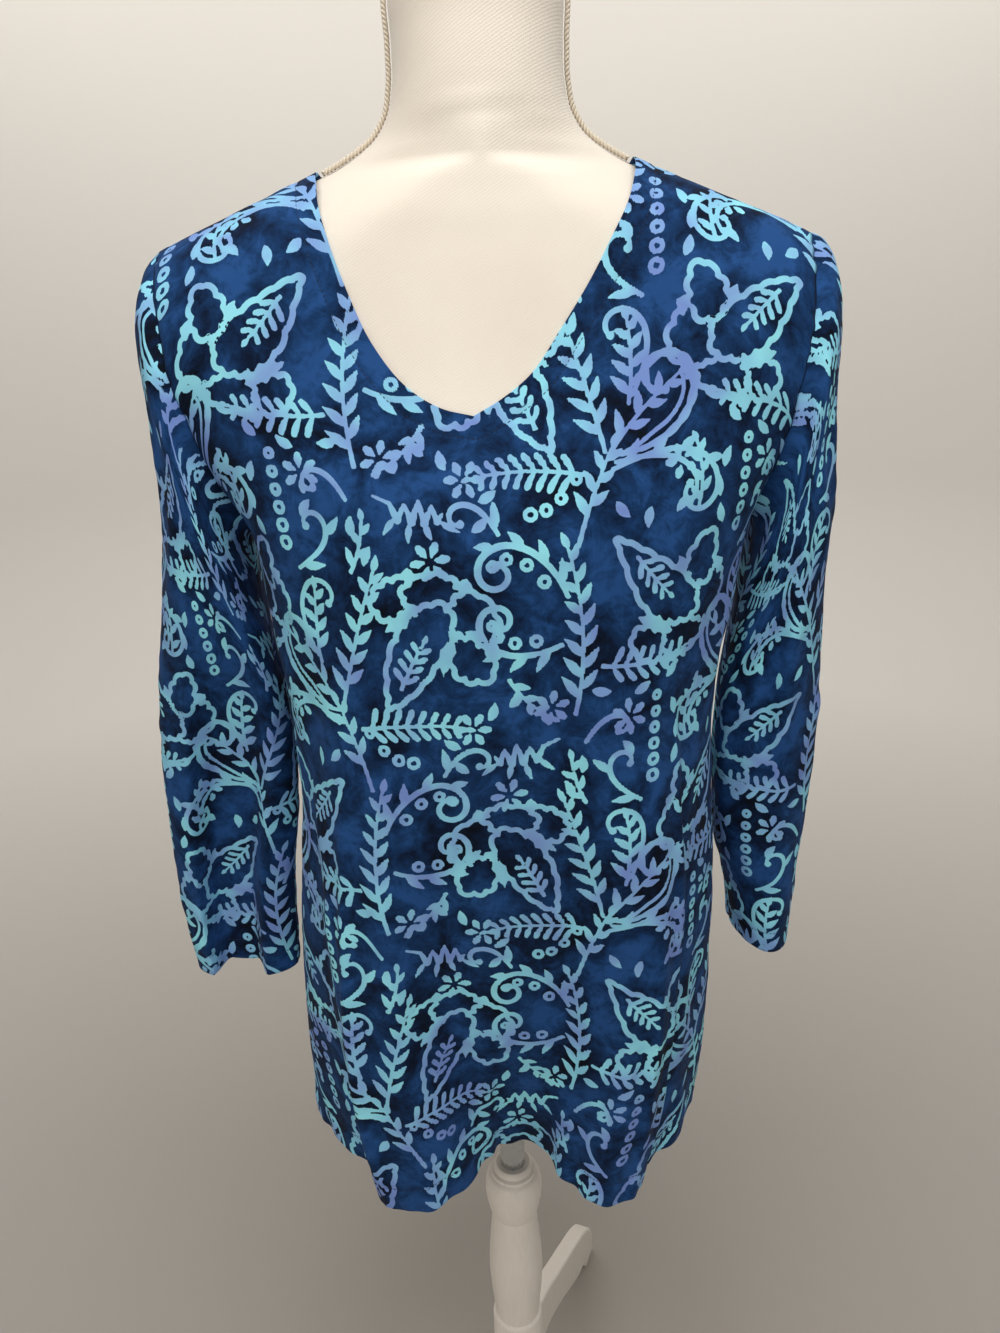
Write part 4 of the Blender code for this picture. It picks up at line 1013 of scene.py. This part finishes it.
def shape_sleeve(rings, x_sign, valley_deg, creases, seed):
    """A sleeve with its creases, its head's ease, its seam and its cuff."""
    grid, flat = sleeve_grid(rings, x_sign, valley_deg)
    normal = grid_normals(grid)
    outward = grid[:, :, :2] - grid[:, :, :2].mean(axis=1, keepdims=True)
    if (normal[:, :, :2] * outward).sum() < 0:
        normal = -normal
    x, z = flat[..., 0], flat[..., 1]
    turned = [c._replace(x0=x_sign * c.x0, x1=x_sign * c.x1, bow=x_sign * c.bow) for c in creases]
    lift = crease_field(flat * 1000.0, turned)
    lift += BROAD_RIPPLE * ripple(x, z, size=0.070, seed=seed)
    lift += FINE_RIPPLE * ripple(x, z, size=0.022, seed=seed + 1)
    head = edge_distance(grid, True)
    cuff = edge_distance(grid, False)
    left, right = side_distance(grid)
    lift -= 0.0005 * near(cuff - CUFF_STITCH, width=0.0022)
    lift += pucker(0.0006, cuff - 0.010, 0.009, x, z * 0.2, size=0.018, seed=seed + 2)
    lift += pucker(0.0005, head - 0.006, 0.007, x, z * 0.3, size=0.016, seed=seed + 3)
    lift -= 0.0009 * near(head, width=0.0030)
    for away in (left, right):
        lift -= 0.0008 * near(away, width=0.0028)
        lift += pucker(0.0007, away, 0.010, x * 0.3, z, size=0.030, seed=seed + 4)
    quiet = soft_step(head / 0.020)
    grid = grid + normal * (lift * (0.5 + 0.5 * quiet))[..., None]
    lines = [[grid[:, k] for k in range(1, 6)], [grid[:, -1 - k] for k in range(1, 6)]]
    close_edges(grid[:, 0], grid[:, -1], *lines)
    return grid, normal, flat


def close_edges(edge, other, beside, other_beside, gap=0.0):
    """Draw two edges together along a seam, and the lines next to them by less and less."""
    move = (other - edge) / 2.0
    length = np.linalg.norm(move, axis=1, keepdims=True) + 1e-9
    move = move * np.clip(1.0 - gap / 2.0 / length, 0.0, 1.0)
    edge += move
    other -= move
    for k, (line, other_line) in enumerate(zip(beside, other_beside)):
        share = 1.0 - soft_step((k + 1.0) / (len(beside) + 1.0))
        line += move * share
        other_line -= move * share


def join_panels(front, back):
    """Close the side seams and the shoulder seams between the front and the back."""
    for side, step in ((0, 1), (-1, -1)):
        skirt = slice(0, SKIRT_ROWS + 1)
        lines = [[grid[skirt, side + step * k] for k in range(1, 7)] for grid in (front, back)]
        close_edges(front[skirt, side], back[skirt, side], *lines, gap=SEAM / 2)
        columns = slice(0, SHOULDER_COLUMNS + 1) if side == 0 else slice(-SHOULDER_COLUMNS - 1, None)
        lines = [[grid[-1 - k, columns] for k in range(1, 7)] for grid in (front, back)]
        close_edges(front[-1, columns], back[-1, columns], *lines, gap=SEAM / 2)


def join_head(sleeve, front, back, x_sign):
    """Bring a sleeve's head to the armhole's edge."""
    side = -1 if x_sign > 0 else 0
    angle = np.linspace(-math.pi, math.pi, sleeve.shape[1])
    fade = 1.0 - soft_step(edge_distance(sleeve, True) / HEAD_EASE)
    target = np.empty_like(sleeve[0])
    for face, chosen in ((front, np.sin(angle) >= 0), (back, np.sin(angle) < 0)):
        edge = face[SKIRT_ROWS:, side]
        for axis in range(2):
            target[chosen, axis] = np.interp(sleeve[0, chosen, 2], edge[:, 2], edge[:, axis])
    target[:, 2] = sleeve[0, :, 2]
    target[:, 0] += x_sign * SEAM / 2
    sleeve += (target - sleeve[0])[None] * fade[..., None]


# ---- materials -----------------------------------------------------------------------------
def linear(code):
    """An sRGB hex value as a linear colour."""
    parts = [int(code[i:i + 2], 16) / 255.0 for i in (1, 3, 5)]
    return tuple(p / 12.92 if p <= 0.04045 else ((p + 0.055) / 1.055) ** 2.4 for p in parts) + (1.0,)


def node(tree, kind, settings=None, values=None, links=None):
    """Add one node with its settings, its socket values and what is linked into it."""
    made = tree.nodes.new(kind)
    for name, value in (settings or {}).items():
        setattr(made, name, value)
    for name, value in (values or {}).items():
        made.inputs[name].default_value = value
    for name, socket in (links or {}).items():
        tree.links.new(socket, made.inputs[name])
    return made


def new_material(name, **values):
    material = bpy.data.materials.new(name)
    material.use_nodes = True
    shader = material.node_tree.nodes["Principled BSDF"]
    for socket, value in values.items():
        shader.inputs[socket.replace("_", " ")].default_value = value
    return material, material.node_tree, shader


def set_stops(ramp, stops):
    """Give a colour ramp its stops: place and hex value."""
    elements = ramp.color_ramp.elements
    while len(elements) < len(stops):
        elements.new(0.5)
    for element, (place, code) in zip(elements, stops):
        element.position = place
        element.color = linear(code)


WAX_EDGE = 0.22             # half the width over which wax gives way to dye, in millimetres
WEAVE_SCALE = 1.11 / 3.14159
WAX_STOPS = [(0.36, "#7995d6"), (0.45, "#86b2e2"), (0.53, "#8dd2ee"), (0.64, "#99e8f8")]
GROUND_STOPS = [(0.60, "#060e1b"), (0.72, "#0a1d3a"), (0.86, "#153763"), (1.0, "#244e88")]


def noise(tree, place, **values):
    return node(tree, "ShaderNodeTexNoise", None, values, {"Vector": place}).outputs["Fac"]


def maths(tree, operation, *terms):
    """A math node on numbers and sockets."""
    numbers = {i: term for i, term in enumerate(terms) if isinstance(term, float)}
    sockets = {i: term for i, term in enumerate(terms) if not isinstance(term, float)}
    return node(tree, "ShaderNodeMath", {"operation": operation}, numbers, sockets).outputs[0]


def ramp_colour(tree, factor, stops):
    ramp = node(tree, "ShaderNodeValToRGB", None, None, {"Fac": factor})
    set_stops(ramp, stops)
    return ramp.outputs["Color"]


def add_bump(tree, shader, height, strength, distance):
    bump = node(tree, "ShaderNodeBump", None, {"Strength": strength, "Distance": distance}, {"Height": height})
    tree.links.new(bump.outputs["Normal"], shader.inputs["Normal"])


def viscose_batik():
    """Plain-woven viscose dyed blue over wax: soft, nearly matt, with a faint sheen in its folds.

    The dye lies cloudy where the cloth is bare and darkest round the wax lines.
    """
    material, tree, shader = new_material(
        "viscose_batik", Roughness=0.82, IOR=1.47, Specular_IOR_Level=0.1, Sheen_Weight=0.02, Sheen_Roughness=0.5)
    plane = node(tree, "ShaderNodeAttribute", {"attribute_name": "wax_plane"}).outputs["Vector"]
    bare = node(tree, "ShaderNodeAttribute", {"attribute_name": "bare"}).outputs["Fac"]
    cut = node(tree, "ShaderNodeAttribute", {"attribute_name": "cut"}).outputs["Vector"]
    dot = node(tree, "ShaderNodeVectorMath", {"operation": "DOT_PRODUCT"}, None, {0: plane, 1: cut})
    # ragged wax edge, from the thread and the cracks in the wax
    rag = noise(tree, cut, Scale=0.42, Detail=3.0, Roughness=0.6)
    edge = maths(tree, "ADD", dot.outputs["Value"], maths(tree, "MULTIPLY_ADD", rag, 0.6, -0.3))
    mask = node(
        tree, "ShaderNodeMapRange", {"interpolation_type": "SMOOTHSTEP"},
        {"From Min": -WAX_EDGE, "From Max": WAX_EDGE}, {"Value": edge})
    # colour of the waxed lines: aqua with drifts of periwinkle
    drift = noise(tree, cut, Scale=0.012, Detail=3.0, Roughness=0.55, Distortion=0.4)
    waxed = ramp_colour(tree, drift, WAX_STOPS)
    # colour of the ground: mottled navy, lighter where it is bare
    cloud = noise(tree, cut, Scale=0.021, Detail=6.0, Roughness=0.62, Distortion=0.6)
    blot = noise(tree, cut, Scale=0.055, Detail=5.0, Roughness=0.7, Distortion=1.6)
    dyed = maths(tree, "MULTIPLY_ADD", blot, 0.46, maths(tree, "MULTIPLY_ADD", bare, 0.30, cloud))
    ground = ramp_colour(tree, dyed, GROUND_STOPS)
    colour = node(
        tree, "ShaderNodeMix", {"data_type": "RGBA"}, None, {0: mask.outputs[0], 6: ground, 7: waxed})
    tree.links.new(colour.outputs[2], shader.inputs["Base Color"])
    # plain weave, 0.35 mm in the real cloth, drawn at 0.9 mm so that it shows
    yarns = []
    for direction in "XY":
        yarns.append(node(
            tree, "ShaderNodeTexWave", {"bands_direction": direction},
            {"Scale": WEAVE_SCALE, "Distortion": 0.6, "Detail": 1.0}, {"Vector": cut}).outputs["Fac"])
    add_bump(tree, shader, maths(tree, "ADD", *yarns), 0.18, 0.0002)
    return material


def sewing_thread():
    """Spun polyester thread, dark blue to match the ground, matt."""
    return new_material("polyester_thread", Base_Color=linear("#101d36"), Roughness=0.7, IOR=1.5)[0]


def cotton_jersey():
    """Cream cotton knit over the form: fine slanting ribs, quite matt."""
    material, tree, shader = new_material(
        "cotton_jersey_cover", Roughness=0.88, IOR=1.5, Sheen_Weight=0.2, Sheen_Roughness=0.5)
    place = node(tree, "ShaderNodeTexCoord").outputs["Object"]
    slant = node(tree, "ShaderNodeMapping", None, {"Rotation": (0.0, math.radians(32.0), 0.0)}, {"Vector": place})
    # ribs 1.3 mm apart in the knit, drawn at 1.8 mm so that they show
    rib = node(
        tree, "ShaderNodeTexWave", {"bands_direction": "Z"},
        {"Scale": 0.31416 / 0.0018, "Distortion": 1.0, "Detail": 2.0, "Detail Scale": 2.0},
        {"Vector": slant.outputs[0]}).outputs["Fac"]
    fleck = noise(tree, place, Scale=700.0, Detail=2.0)
    cream = ramp_colour(tree, noise(tree, place, Scale=9.0, Detail=3.0), [(0.3, "#eadfd1"), (0.7, "#f2e9dc")])
    # the cream is darkened a little in the ribs' grooves: painted shade of the knit's relief
    rib_painted_shade = node(tree, "ShaderNodeMapRange", None, {"To Min": 0.965, "To Max": 1.0}, {"Value": rib})
    cream_with_rib_shade = node(
        tree, "ShaderNodeMix", {"data_type": "RGBA", "blend_type": "MULTIPLY"}, {0: 1.0},
        {6: cream, 7: rib_painted_shade.outputs[0]})
    tree.links.new(cream_with_rib_shade.outputs[2], shader.inputs["Base Color"])
    add_bump(tree, shader, maths(tree, "MULTIPLY_ADD", fleck, 0.4, rib), 0.25, 0.0003)
    return material


def cotton_braid():
    """Undyed mercerised cotton cord: cream, a little glossier than the cover."""
    material, tree, shader = new_material(
        "cotton_braid", Base_Color=linear("#ddd2c0"), Roughness=0.7, IOR=1.5, Sheen_Weight=0.2)
    place = node(tree, "ShaderNodeTexCoord").outputs["Object"]
    add_bump(tree, shader, noise(tree, place, Scale=1600.0, Detail=2.0), 0.4, 0.0002)
    return material


def chromed_tube():
    """Chromed steel tube, drawn with fine flutes: bright, slightly brushed."""
    material, tree, shader = new_material(
        "chromed_steel_tube", Base_Color=linear("#c9cbcd"), Metallic=1.0, Roughness=0.24)
    place = node(tree, "ShaderNodeTexCoord").outputs["Object"]
    smear = noise(tree, place, Scale=60.0, Detail=3.0)
    rough = node(tree, "ShaderNodeMapRange", None, {"To Min": 0.18, "To Max": 0.34}, {"Value": smear})
    tree.links.new(rough.outputs[0], shader.inputs["Roughness"])
    return material


def whitewashed_beech():
    """Turned beech under a white wash and satin lacquer: grain shows faintly through the white."""
    material, tree, shader = new_material(
        "whitewashed_beech", Roughness=0.42, IOR=1.5, Coat_Weight=0.15, Coat_Roughness=0.3)
    place = node(tree, "ShaderNodeTexCoord").outputs["Object"]
    long_way = node(tree, "ShaderNodeMapping", None, {"Scale": (1.0, 1.0, 0.06)}, {"Vector": place})
    # grain lines about 1.5 mm apart
    grain = noise(tree, long_way.outputs[0], Scale=420.0, Detail=5.0, Roughness=0.65)
    white = ramp_colour(tree, grain, [(0.3, "#ebe3d9"), (0.7, "#f3ece3")])
    tree.links.new(white, shader.inputs["Base Color"])
    add_bump(tree, shader, grain, 0.06, 0.0002)
    return material


FLOOR_SHADE_NEAR = 0.3            # metres from the stand's foot at which the floor's painted shade starts to fade
FLOOR_SHADE_FAR = 2.6


def studio_paper_painted_shade(name, floor, wall):
    """Matt background paper, painted greyer on the floor round the stand than on the wall: the grey is painted
    shade.
    """
    material, tree, shader = new_material(name, Roughness=0.9)
    place = node(tree, "ShaderNodeNewGeometry").outputs["Position"]
    away = node(tree, "ShaderNodeVectorMath", {"operation": "LENGTH"}, None, {0: place}).outputs["Value"]
    floor_shade_share = node(tree, "ShaderNodeMapRange", None, {"From Min": FLOOR_SHADE_NEAR, "From Max": FLOOR_SHADE_FAR}, {"Value": away})
    # the ramp runs from painted shade grey on the floor near the stand to the paper's pale colour on the wall
    paper = ramp_colour(tree, floor_shade_share.outputs["Result"], [(0.0, floor), (1.0, wall)])
    tree.links.new(paper, shader.inputs["Base Color"])
    return material


# ---- pieces --------------------------------------------------------------------------------
STITCH_PITCH = 0.0033
STITCH_LENGTH = 0.0025
THREAD_RADIUS = 0.00025
THREAD_SIDES = 5
# along a stitch: the share of its length, and its height and thickness in thread radii
STITCH_SHAPE = ((0.0, -0.9, 0.5), (0.2, 0.6, 0.9), (0.5, 1.0, 1.0), (0.8, 0.6, 0.9), (1.0, -0.9, 0.5))


def add_stitches(name, grid, normal, distance, at, keep, material, slot="batik_cloth"):
    """A row of stitches where the distance from an edge has one value, along the kept columns."""
    points, ups = [], []
    for c in np.nonzero(keep)[0]:
        d = distance[:, c]
        order = np.argsort(d)
        points.append([np.interp(at, d[order], grid[order, c, k]) for k in range(3)])
        ups.append([np.interp(at, d[order], normal[order, c, k]) for k in range(3)])
    points, ups = np.array(points), np.array(ups)
    length = run_along(points)
    vertices, faces = [], []
    for start in np.arange(STITCH_PITCH / 2, length[-1] - STITCH_PITCH, STITCH_PITCH):
        centres = []
        for share, high, _ in STITCH_SHAPE:
            place = start + STITCH_LENGTH * share
            spot = np.array([np.interp(place, length, points[:, i]) for i in range(3)])
            up = np.array([np.interp(place, length, ups[:, i]) for i in range(3)])
            centres.append(spot + up * (high * THREAD_RADIUS))
        along = centres[-1] - centres[0]
        along /= np.linalg.norm(along)
        side = np.cross(along, up)
        side /= np.linalg.norm(side)
        lift = np.cross(side, along)
        base = len(vertices)
        for centre, (_, _, thick) in zip(centres, STITCH_SHAPE):
            for i in range(THREAD_SIDES):
                a = 2.0 * math.pi * i / THREAD_SIDES
                vertices.append(centre + THREAD_RADIUS * thick * (math.cos(a) * side + math.sin(a) * lift))
        faces += [[base + i for i in face] for face in quads(len(centres), THREAD_SIDES, wrap=True).tolist()]
    return add_mesh(name, vertices, faces, material)


FORM_SIDES = 160
FORM_STEP = 0.006           # the most that two drawn rings lie apart
FORM_LEAST_DEPTH = 0.002
WRINKLE_Z = 1.374


def add_form(material):
    """The torso and neck: the CAD's sections, drawn smoothly through."""
    angle = np.linspace(-math.pi / 2, math.pi / 2, FORM_SIDES // 2 + 1)
    rings = []
    for level in FORM_LEVELS:
        across = np.sign(angle) * np.abs(np.sin(angle)) ** (2 / level.square)
        x = level.half * across
        turned = np.ones_like(x)
        if level.z < SHOULDER_TOP_ROW_Z:
            mid_round = NECK_ROUND + (SHOULDER_ROUND - NECK_ROUND) * soft_step(np.abs(x) / NECK_POINT_X)
            drop = (shoulder_height(x) - FORM_INSET - level.z) / mid_round
            turned = np.sqrt(1.0 - (1.0 - np.clip(drop, 0.0, 1.0)) ** 2)
        front = cut_section(np.abs(across), level.front, level.plate, level.square) * turned
        back = cut_section(np.abs(across), level.back, level.plate, level.square) * turned
        front[[0, -1]] = back[[0, -1]] = max(front[0], FORM_LEAST_DEPTH)
        rings.append(list(zip(x, -front)) + list(zip(x, back))[::-1])
    rings = np.array(rings)
    heights = np.array([level.z for level in FORM_LEVELS])
    steps = [np.linspace(a, b, max(2, int((b - a) / FORM_STEP) + 2)) for a, b in zip(heights[:-1], heights[1:])]
    fine = np.unique(np.concatenate(steps))
    shape = np.empty((len(fine), rings.shape[1], 3))
    for i in range(rings.shape[1]):
        for axis in range(2):
            shape[:, i, axis] = smooth_curve(heights, rings[:, i, axis], fine)
    shape[:, :, 2] = fine[:, None]
    # the cover wrinkles softly at the front of the neck's base
    x, z = shape[:, :, 0], shape[:, :, 2]
    wrinkle = pucker(0.0008, z - WRINKLE_Z, 0.020, x, 2.0 * z, size=0.040, seed=91)
    shape[:, :, 1] -= wrinkle * np.clip(-shape[:, :, 1] / 0.05, 0.0, 1.0)
    faces = tube_faces(*shape.shape[:2])
    item = add_mesh("form_cover", shape.reshape(-1, 3), faces, material)
    item.data.set_sharp_from_angle(angle=math.radians(60))
    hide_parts("dress_form")
    return item


def unit_tangents(line):
    tangent = np.gradient(line, axis=0)
    return tangent / np.linalg.norm(tangent, axis=1, keepdims=True)


def square_to(line):
    """The direction square to a line in one plane, to its left."""
    tangent = unit_tangents(line)
    return np.stack([-tangent[:, 1], tangent[:, 0]], axis=1)


def tube_along(path, radius, sides):
    """Points and faces of a round tube along a path, closed at its ends."""
    tangent = unit_tangents(path)
    side = np.cross(tangent, np.array([0.0, 1.0, 0.0]))
    side /= np.linalg.norm(side, axis=1, keepdims=True)
    lift = np.cross(side, tangent)
    turn = np.linspace(0.0, 2.0 * math.pi, sides, endpoint=False)
    round_it = np.cos(turn)[None, :, None] * side[:, None] + np.sin(turn)[None, :, None] * lift[:, None]
    return (path[:, None] + radius * round_it).reshape(-1, 3), tube_faces(len(path), sides, flip=True)


BRAID_OFF = 0.0028
BRAID_TOP_Z = 1.4600
BRAID_END_GAP = 0.0045
STRAND_RADIUS = 0.00105
BRAID_PITCH = 0.0088        # length in which each strand crosses over and back
BRAID_SWAY = 0.00155        # how far a strand swings to each side
BRAID_RISE = 0.00085        # and up and down as it crosses the others
BRAID_POINTS = 360
NECK_WALL_POINTS = 400


def add_braid(name, neck_point, node_name, material):
    """A flat plait of three strands down the side of the neck."""
    x_sign = math.copysign(1.0, neck_point.x)
    neck = [level for level in FORM_LEVELS if level.z > SHOULDER_TOP_ROW_Z - 0.010]
    end_x = abs(neck_point.x) - BRAID_END_GAP
    end_z = np.interp(-end_x, [-level.half for level in neck], [level.z for level in neck])
    heights = np.linspace(BRAID_TOP_Z, end_z, NECK_WALL_POINTS)
    halves = smooth_curve([row.z for row in neck], [row.half for row in neck], heights)
    wall = np.stack([halves, heights], axis=1)
    path = even_points(wall + BRAID_OFF * square_to(wall), BRAID_POINTS)
    out = square_to(path)
    phase = np.linspace(0.0, 2.0 * math.pi * run_along(path)[-1] / BRAID_PITCH, BRAID_POINTS)
    vertices, faces = [], []
    for strand in range(3):
        a = phase + 2.0 * math.pi * strand / 3
        sway, rise = BRAID_SWAY * np.sin(a), BRAID_RISE * np.sin(2.0 * a)
        line = np.stack([x_sign * (path[:, 0] + out[:, 0] * rise), sway, path[:, 1] + out[:, 1] * rise], axis=1)
        points, more = tube_along(line, STRAND_RADIUS, 8)
        base = sum(len(v) for v in vertices)
        vertices.append(points)
        faces += [[base + i for i in face] for face in more]
    item = add_mesh(name, np.concatenate(vertices), faces, material)
    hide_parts(node_name)
    return item


def add_turned(name, profile, sides, material, node_name, flutes=0, flute_depth=0.0):
    """A turned piece about the axis; flutes run along it."""
    turn = np.linspace(0.0, 2.0 * math.pi, sides, endpoint=False)
    dip = 1.0 - flute_depth * (0.5 - 0.5 * np.cos(flutes * turn)) ** 2
    circle = np.stack([dip * np.cos(turn), dip * np.sin(turn)], axis=1)
    rings = [np.concatenate([r * circle, np.full((sides, 1), z)], axis=1) for z, r in profile]
    item = add_mesh(name, np.concatenate(rings), tube_faces(len(rings), sides), material)
    item.data.set_sharp_from_angle(angle=math.radians(38))
    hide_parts(node_name)
    return item


POST_STEPS = (0, 4, 5, 7, 13, 14, 20, 21, 22, 23, 24, 25)     # points of the profile that stay crisp


def fine_profile():
    """The turned profile with its swells drawn smoothly and its steps kept crisp."""
    z, r = np.array(POST_PROFILE).T
    out = []
    for first, last in zip(POST_STEPS[:-1], POST_STEPS[1:]):
        if last - first == 1:
            out.append((z[first], r[first]))
            continue
        fine = np.linspace(z[first], z[last], 6 * (last - first))
        out += list(zip(fine, smooth_curve(z[first:last + 1], r[first:last + 1], fine)))[:-1]
    out.append((z[-1], r[-1]))
    return out


TUBE_RADIUS = 0.0125
LEG_THICKNESS = 0.021
LEG_ROOT_GAP = 0.0003
LEG_NAMES = ["leg_back", "leg_front", "leg_side"]
LEG_FIRST_DEG = 22.0
LegPoint = namedtuple("LegPoint", "reach z")
LEG_TOP = [
    LegPoint(0.0, 0.186), LegPoint(0.048, 0.168), LegPoint(0.100, 0.138), LegPoint(0.160, 0.105),
    LegPoint(0.205, 0.078), LegPoint(0.232, 0.052), LegPoint(0.243, 0.026), LegPoint(0.243, 0.000),
]
LEG_UNDER = [
    LegPoint(0.212, 0.000), LegPoint(0.208, 0.014), LegPoint(0.196, 0.023), LegPoint(0.180, 0.028),
    LegPoint(0.150, 0.046), LegPoint(0.100, 0.080), LegPoint(0.045, 0.108), LegPoint(0.0, 0.113),
]


def add_leg(name, degrees, material):
    """A sawn board with eased edges."""
    root = POST_PROFILE[4].radius + LEG_ROOT_GAP
    outline = np.concatenate([smooth_outline(LEG_TOP, 30), smooth_outline(LEG_UNDER, 30)])
    half = LEG_THICKNESS / 2
    away = math.radians(90.0 - degrees)
    count = len(outline)
    vertices = []
    for side in (-half, half):
        for reach, z in outline:
            r = root + reach
            x = r * math.cos(away) - side * math.sin(away)
            y = r * math.sin(away) + side * math.cos(away)
            vertices.append((x, y, z))
    faces = [list(range(count)), list(range(count, 2 * count))[::-1]]
    faces += [[i, i + count, (i + 1) % count + count, (i + 1) % count] for i in range(count)]
    item = add_mesh(name + "_board", vertices, faces, material)
    ease = item.modifiers.new("eased edges", "BEVEL")
    ease.width = 0.0028
    ease.segments = 4
    ease.limit_method = "ANGLE"
    ease.angle_limit = math.radians(50)
    item.data.set_sharp_from_angle(angle=math.radians(60))
    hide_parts(name)
    return item


def add_light(name, place, aim, width, height, power, tint):
    data = bpy.data.lights.new(name, "AREA")
    data.shape = "RECTANGLE"
    data.size, data.size_y = width, height
    data.energy = power
    data.color = linear(tint)[:3]
    item = bpy.data.objects.new(name, data)
    item.location = place
    item.rotation_euler = (Vector(aim) - Vector(place)).to_track_quat("-Z", "Y").to_euler()
    item.visible_camera = False
    bpy.context.scene.collection.objects.link(item)


SWEEP_RADIUS = 3.2
SWEEP_TURN = 0.7            # radius in which the floor turns up into the wall
SWEEP_HEIGHT = 3.6


ROOM_LIGHT = 0.30
Softbox = namedtuple("Softbox", "name place aim width height power tint")
SOFTBOXES = [
    Softbox("ceiling_softbox", (0.0, -0.60, 2.20), (0.0, -0.05, 1.1), 1.1, 0.8, 14.2, "#fffdf8"),
    Softbox("front_softbox", (0.9, -2.2, 1.5), (0.0, 0.0, 1.0), 1.6, 1.2, 3.8, "#ffffff"),
    Softbox("stand_softbox", (-0.5, -1.3, 0.45), (0.0, 0.0, 0.3), 0.5, 0.4, 2.4, "#fff4e8"),
    Softbox("backdrop_softbox", (0.0, 1.7, 3.1), (0.0, 3.1, 0.9), 3.6, 0.8, 40.0, "#fff9f0"),
]


def add_studio():
    """A pale round floor that sweeps up into a pale wall, and soft lights."""
    turn = np.linspace(0.0, math.pi / 2, 20)
    flat = SWEEP_RADIUS - SWEEP_TURN
    line = [(0.02, 0.0)]
    line += [(flat + SWEEP_TURN * math.sin(a), SWEEP_TURN * (1.0 - math.cos(a))) for a in turn]
    line.append((SWEEP_RADIUS, SWEEP_HEIGHT))
    around = np.linspace(0.0, 2.0 * math.pi, 96, endpoint=False)
    vertices = [(r * math.cos(a), r * math.sin(a), z) for r, z in line for a in around]
    faces = quads(len(line), len(around), wrap=True).tolist() + [list(range(len(around)))[::-1]]
    mesh = bpy.data.meshes.new("paper_sweep")
    mesh.from_pydata(vertices, [], faces)
    mesh.shade_smooth()
    # the floor's grey round the stand is painted shade, fading into the paper's own pale colour
    mesh.materials.append(studio_paper_painted_shade("background_paper_painted_floor_shade", "#aba69f", "#e6e3df"))
    sweep = bpy.data.objects.new("paper_sweep", mesh)
    bpy.context.scene.collection.objects.link(sweep)
    world = bpy.data.worlds.new("studio")
    world.use_nodes = True
    world.node_tree.nodes["Background"].inputs["Color"].default_value = linear("#e9edf2")
    world.node_tree.nodes["Background"].inputs["Strength"].default_value = ROOM_LIGHT
    bpy.context.scene.world = world
    for softbox in SOFTBOXES:
        add_light(*softbox)
    bpy.context.scene.view_settings.view_transform = "Standard"


def build():
    aim_camera()
    add_studio()
    batik = viscose_batik()
    thread = sewing_thread()
    wax, bare = build_print()
    hem_turn = (TURNED_ROWS, FACING_ROWS, ALLOWANCE_COLUMNS)

    front_grid, _, front_flat = shape_panel(-1, FRONT_FOLDS, FRONT_CREASES, 11)
    back_grid, _, back_flat = shape_panel(1, BACK_FOLDS, BACK_CREASES, 37)
    join_panels(front_grid, back_grid)

    normal = grid_normals(front_grid)
    front = add_cloth("tunic_front", front_grid, normal, front_flat, wax, bare, (18.0, 30.0), hem_turn, batik)
    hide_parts("front")
    every = np.ones(front_grid.shape[1], bool)
    up, down = edge_distance(front_grid, True), neck_distance(front_grid)
    neck_columns = down[-1] < NECK_STITCH
    front_hem = add_stitches("front_hem_stitching", front_grid, normal, up, HEM_STITCH, every, thread)
    neck_sewing = add_stitches(
        "front_neck_stitching", front_grid, normal, down, NECK_STITCH, neck_columns, thread)

    normal = -grid_normals(back_grid)
    back_flat = back_flat * np.array([-1.0, 1.0])
    back = add_cloth("tunic_back", back_grid, normal, back_flat, wax, bare, (95.0, 160.0), hem_turn, batik)
    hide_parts("back")
    up = edge_distance(back_grid, True)
    back_hem = add_stitches("back_hem_stitching", back_grid, normal, up, HEM_STITCH, every, thread)

    for side, rings, x_sign, valley, seed, shift in (
        ("left", LEFT_RINGS, -1, LEFT_VALLEY_DEG, 53, (210.0, 250.0)),
        ("right", RIGHT_RINGS, 1, RIGHT_VALLEY_DEG, 71, (40.0, 110.0)),
    ):
        grid, normal, flat = shape_sleeve(rings, x_sign, valley, SLEEVE_CREASES, seed)
        join_head(grid, front_grid, back_grid, x_sign)
        turned = grid[::-1], normal[::-1], flat[::-1]
        sleeve = add_cloth("tunic_sleeve_" + side, *turned, wax, bare, shift, (9, 3, 0), batik)
        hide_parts("sleeve_" + side)
        around = np.ones(grid.shape[1], bool)
        up = edge_distance(turned[0], True)
        sewing = add_stitches(side + "_cuff_stitching", *turned[:2], up, CUFF_STITCH, around, thread)

    add_form(cotton_jersey())
    braid = cotton_braid()
    add_braid("left_neck_plait", NECK_LEFT[0], "neck_braid_left", braid)
    add_braid("right_neck_plait", NECK_RIGHT[-1], "neck_braid_right", braid)
    low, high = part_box("pole")
    line = [(low.z, TUBE_RADIUS), (high.z, TUBE_RADIUS)]
    add_turned("fluted_tube", line, 192, chromed_tube(), "pole", flutes=16, flute_depth=0.05)
    wood = whitewashed_beech()
    add_turned("beech_post", fine_profile(), 96, wood, "turned_post")
    for i, name in enumerate(LEG_NAMES):
        add_leg(name, LEG_FIRST_DEG + 120.0 * i, wood)


build()
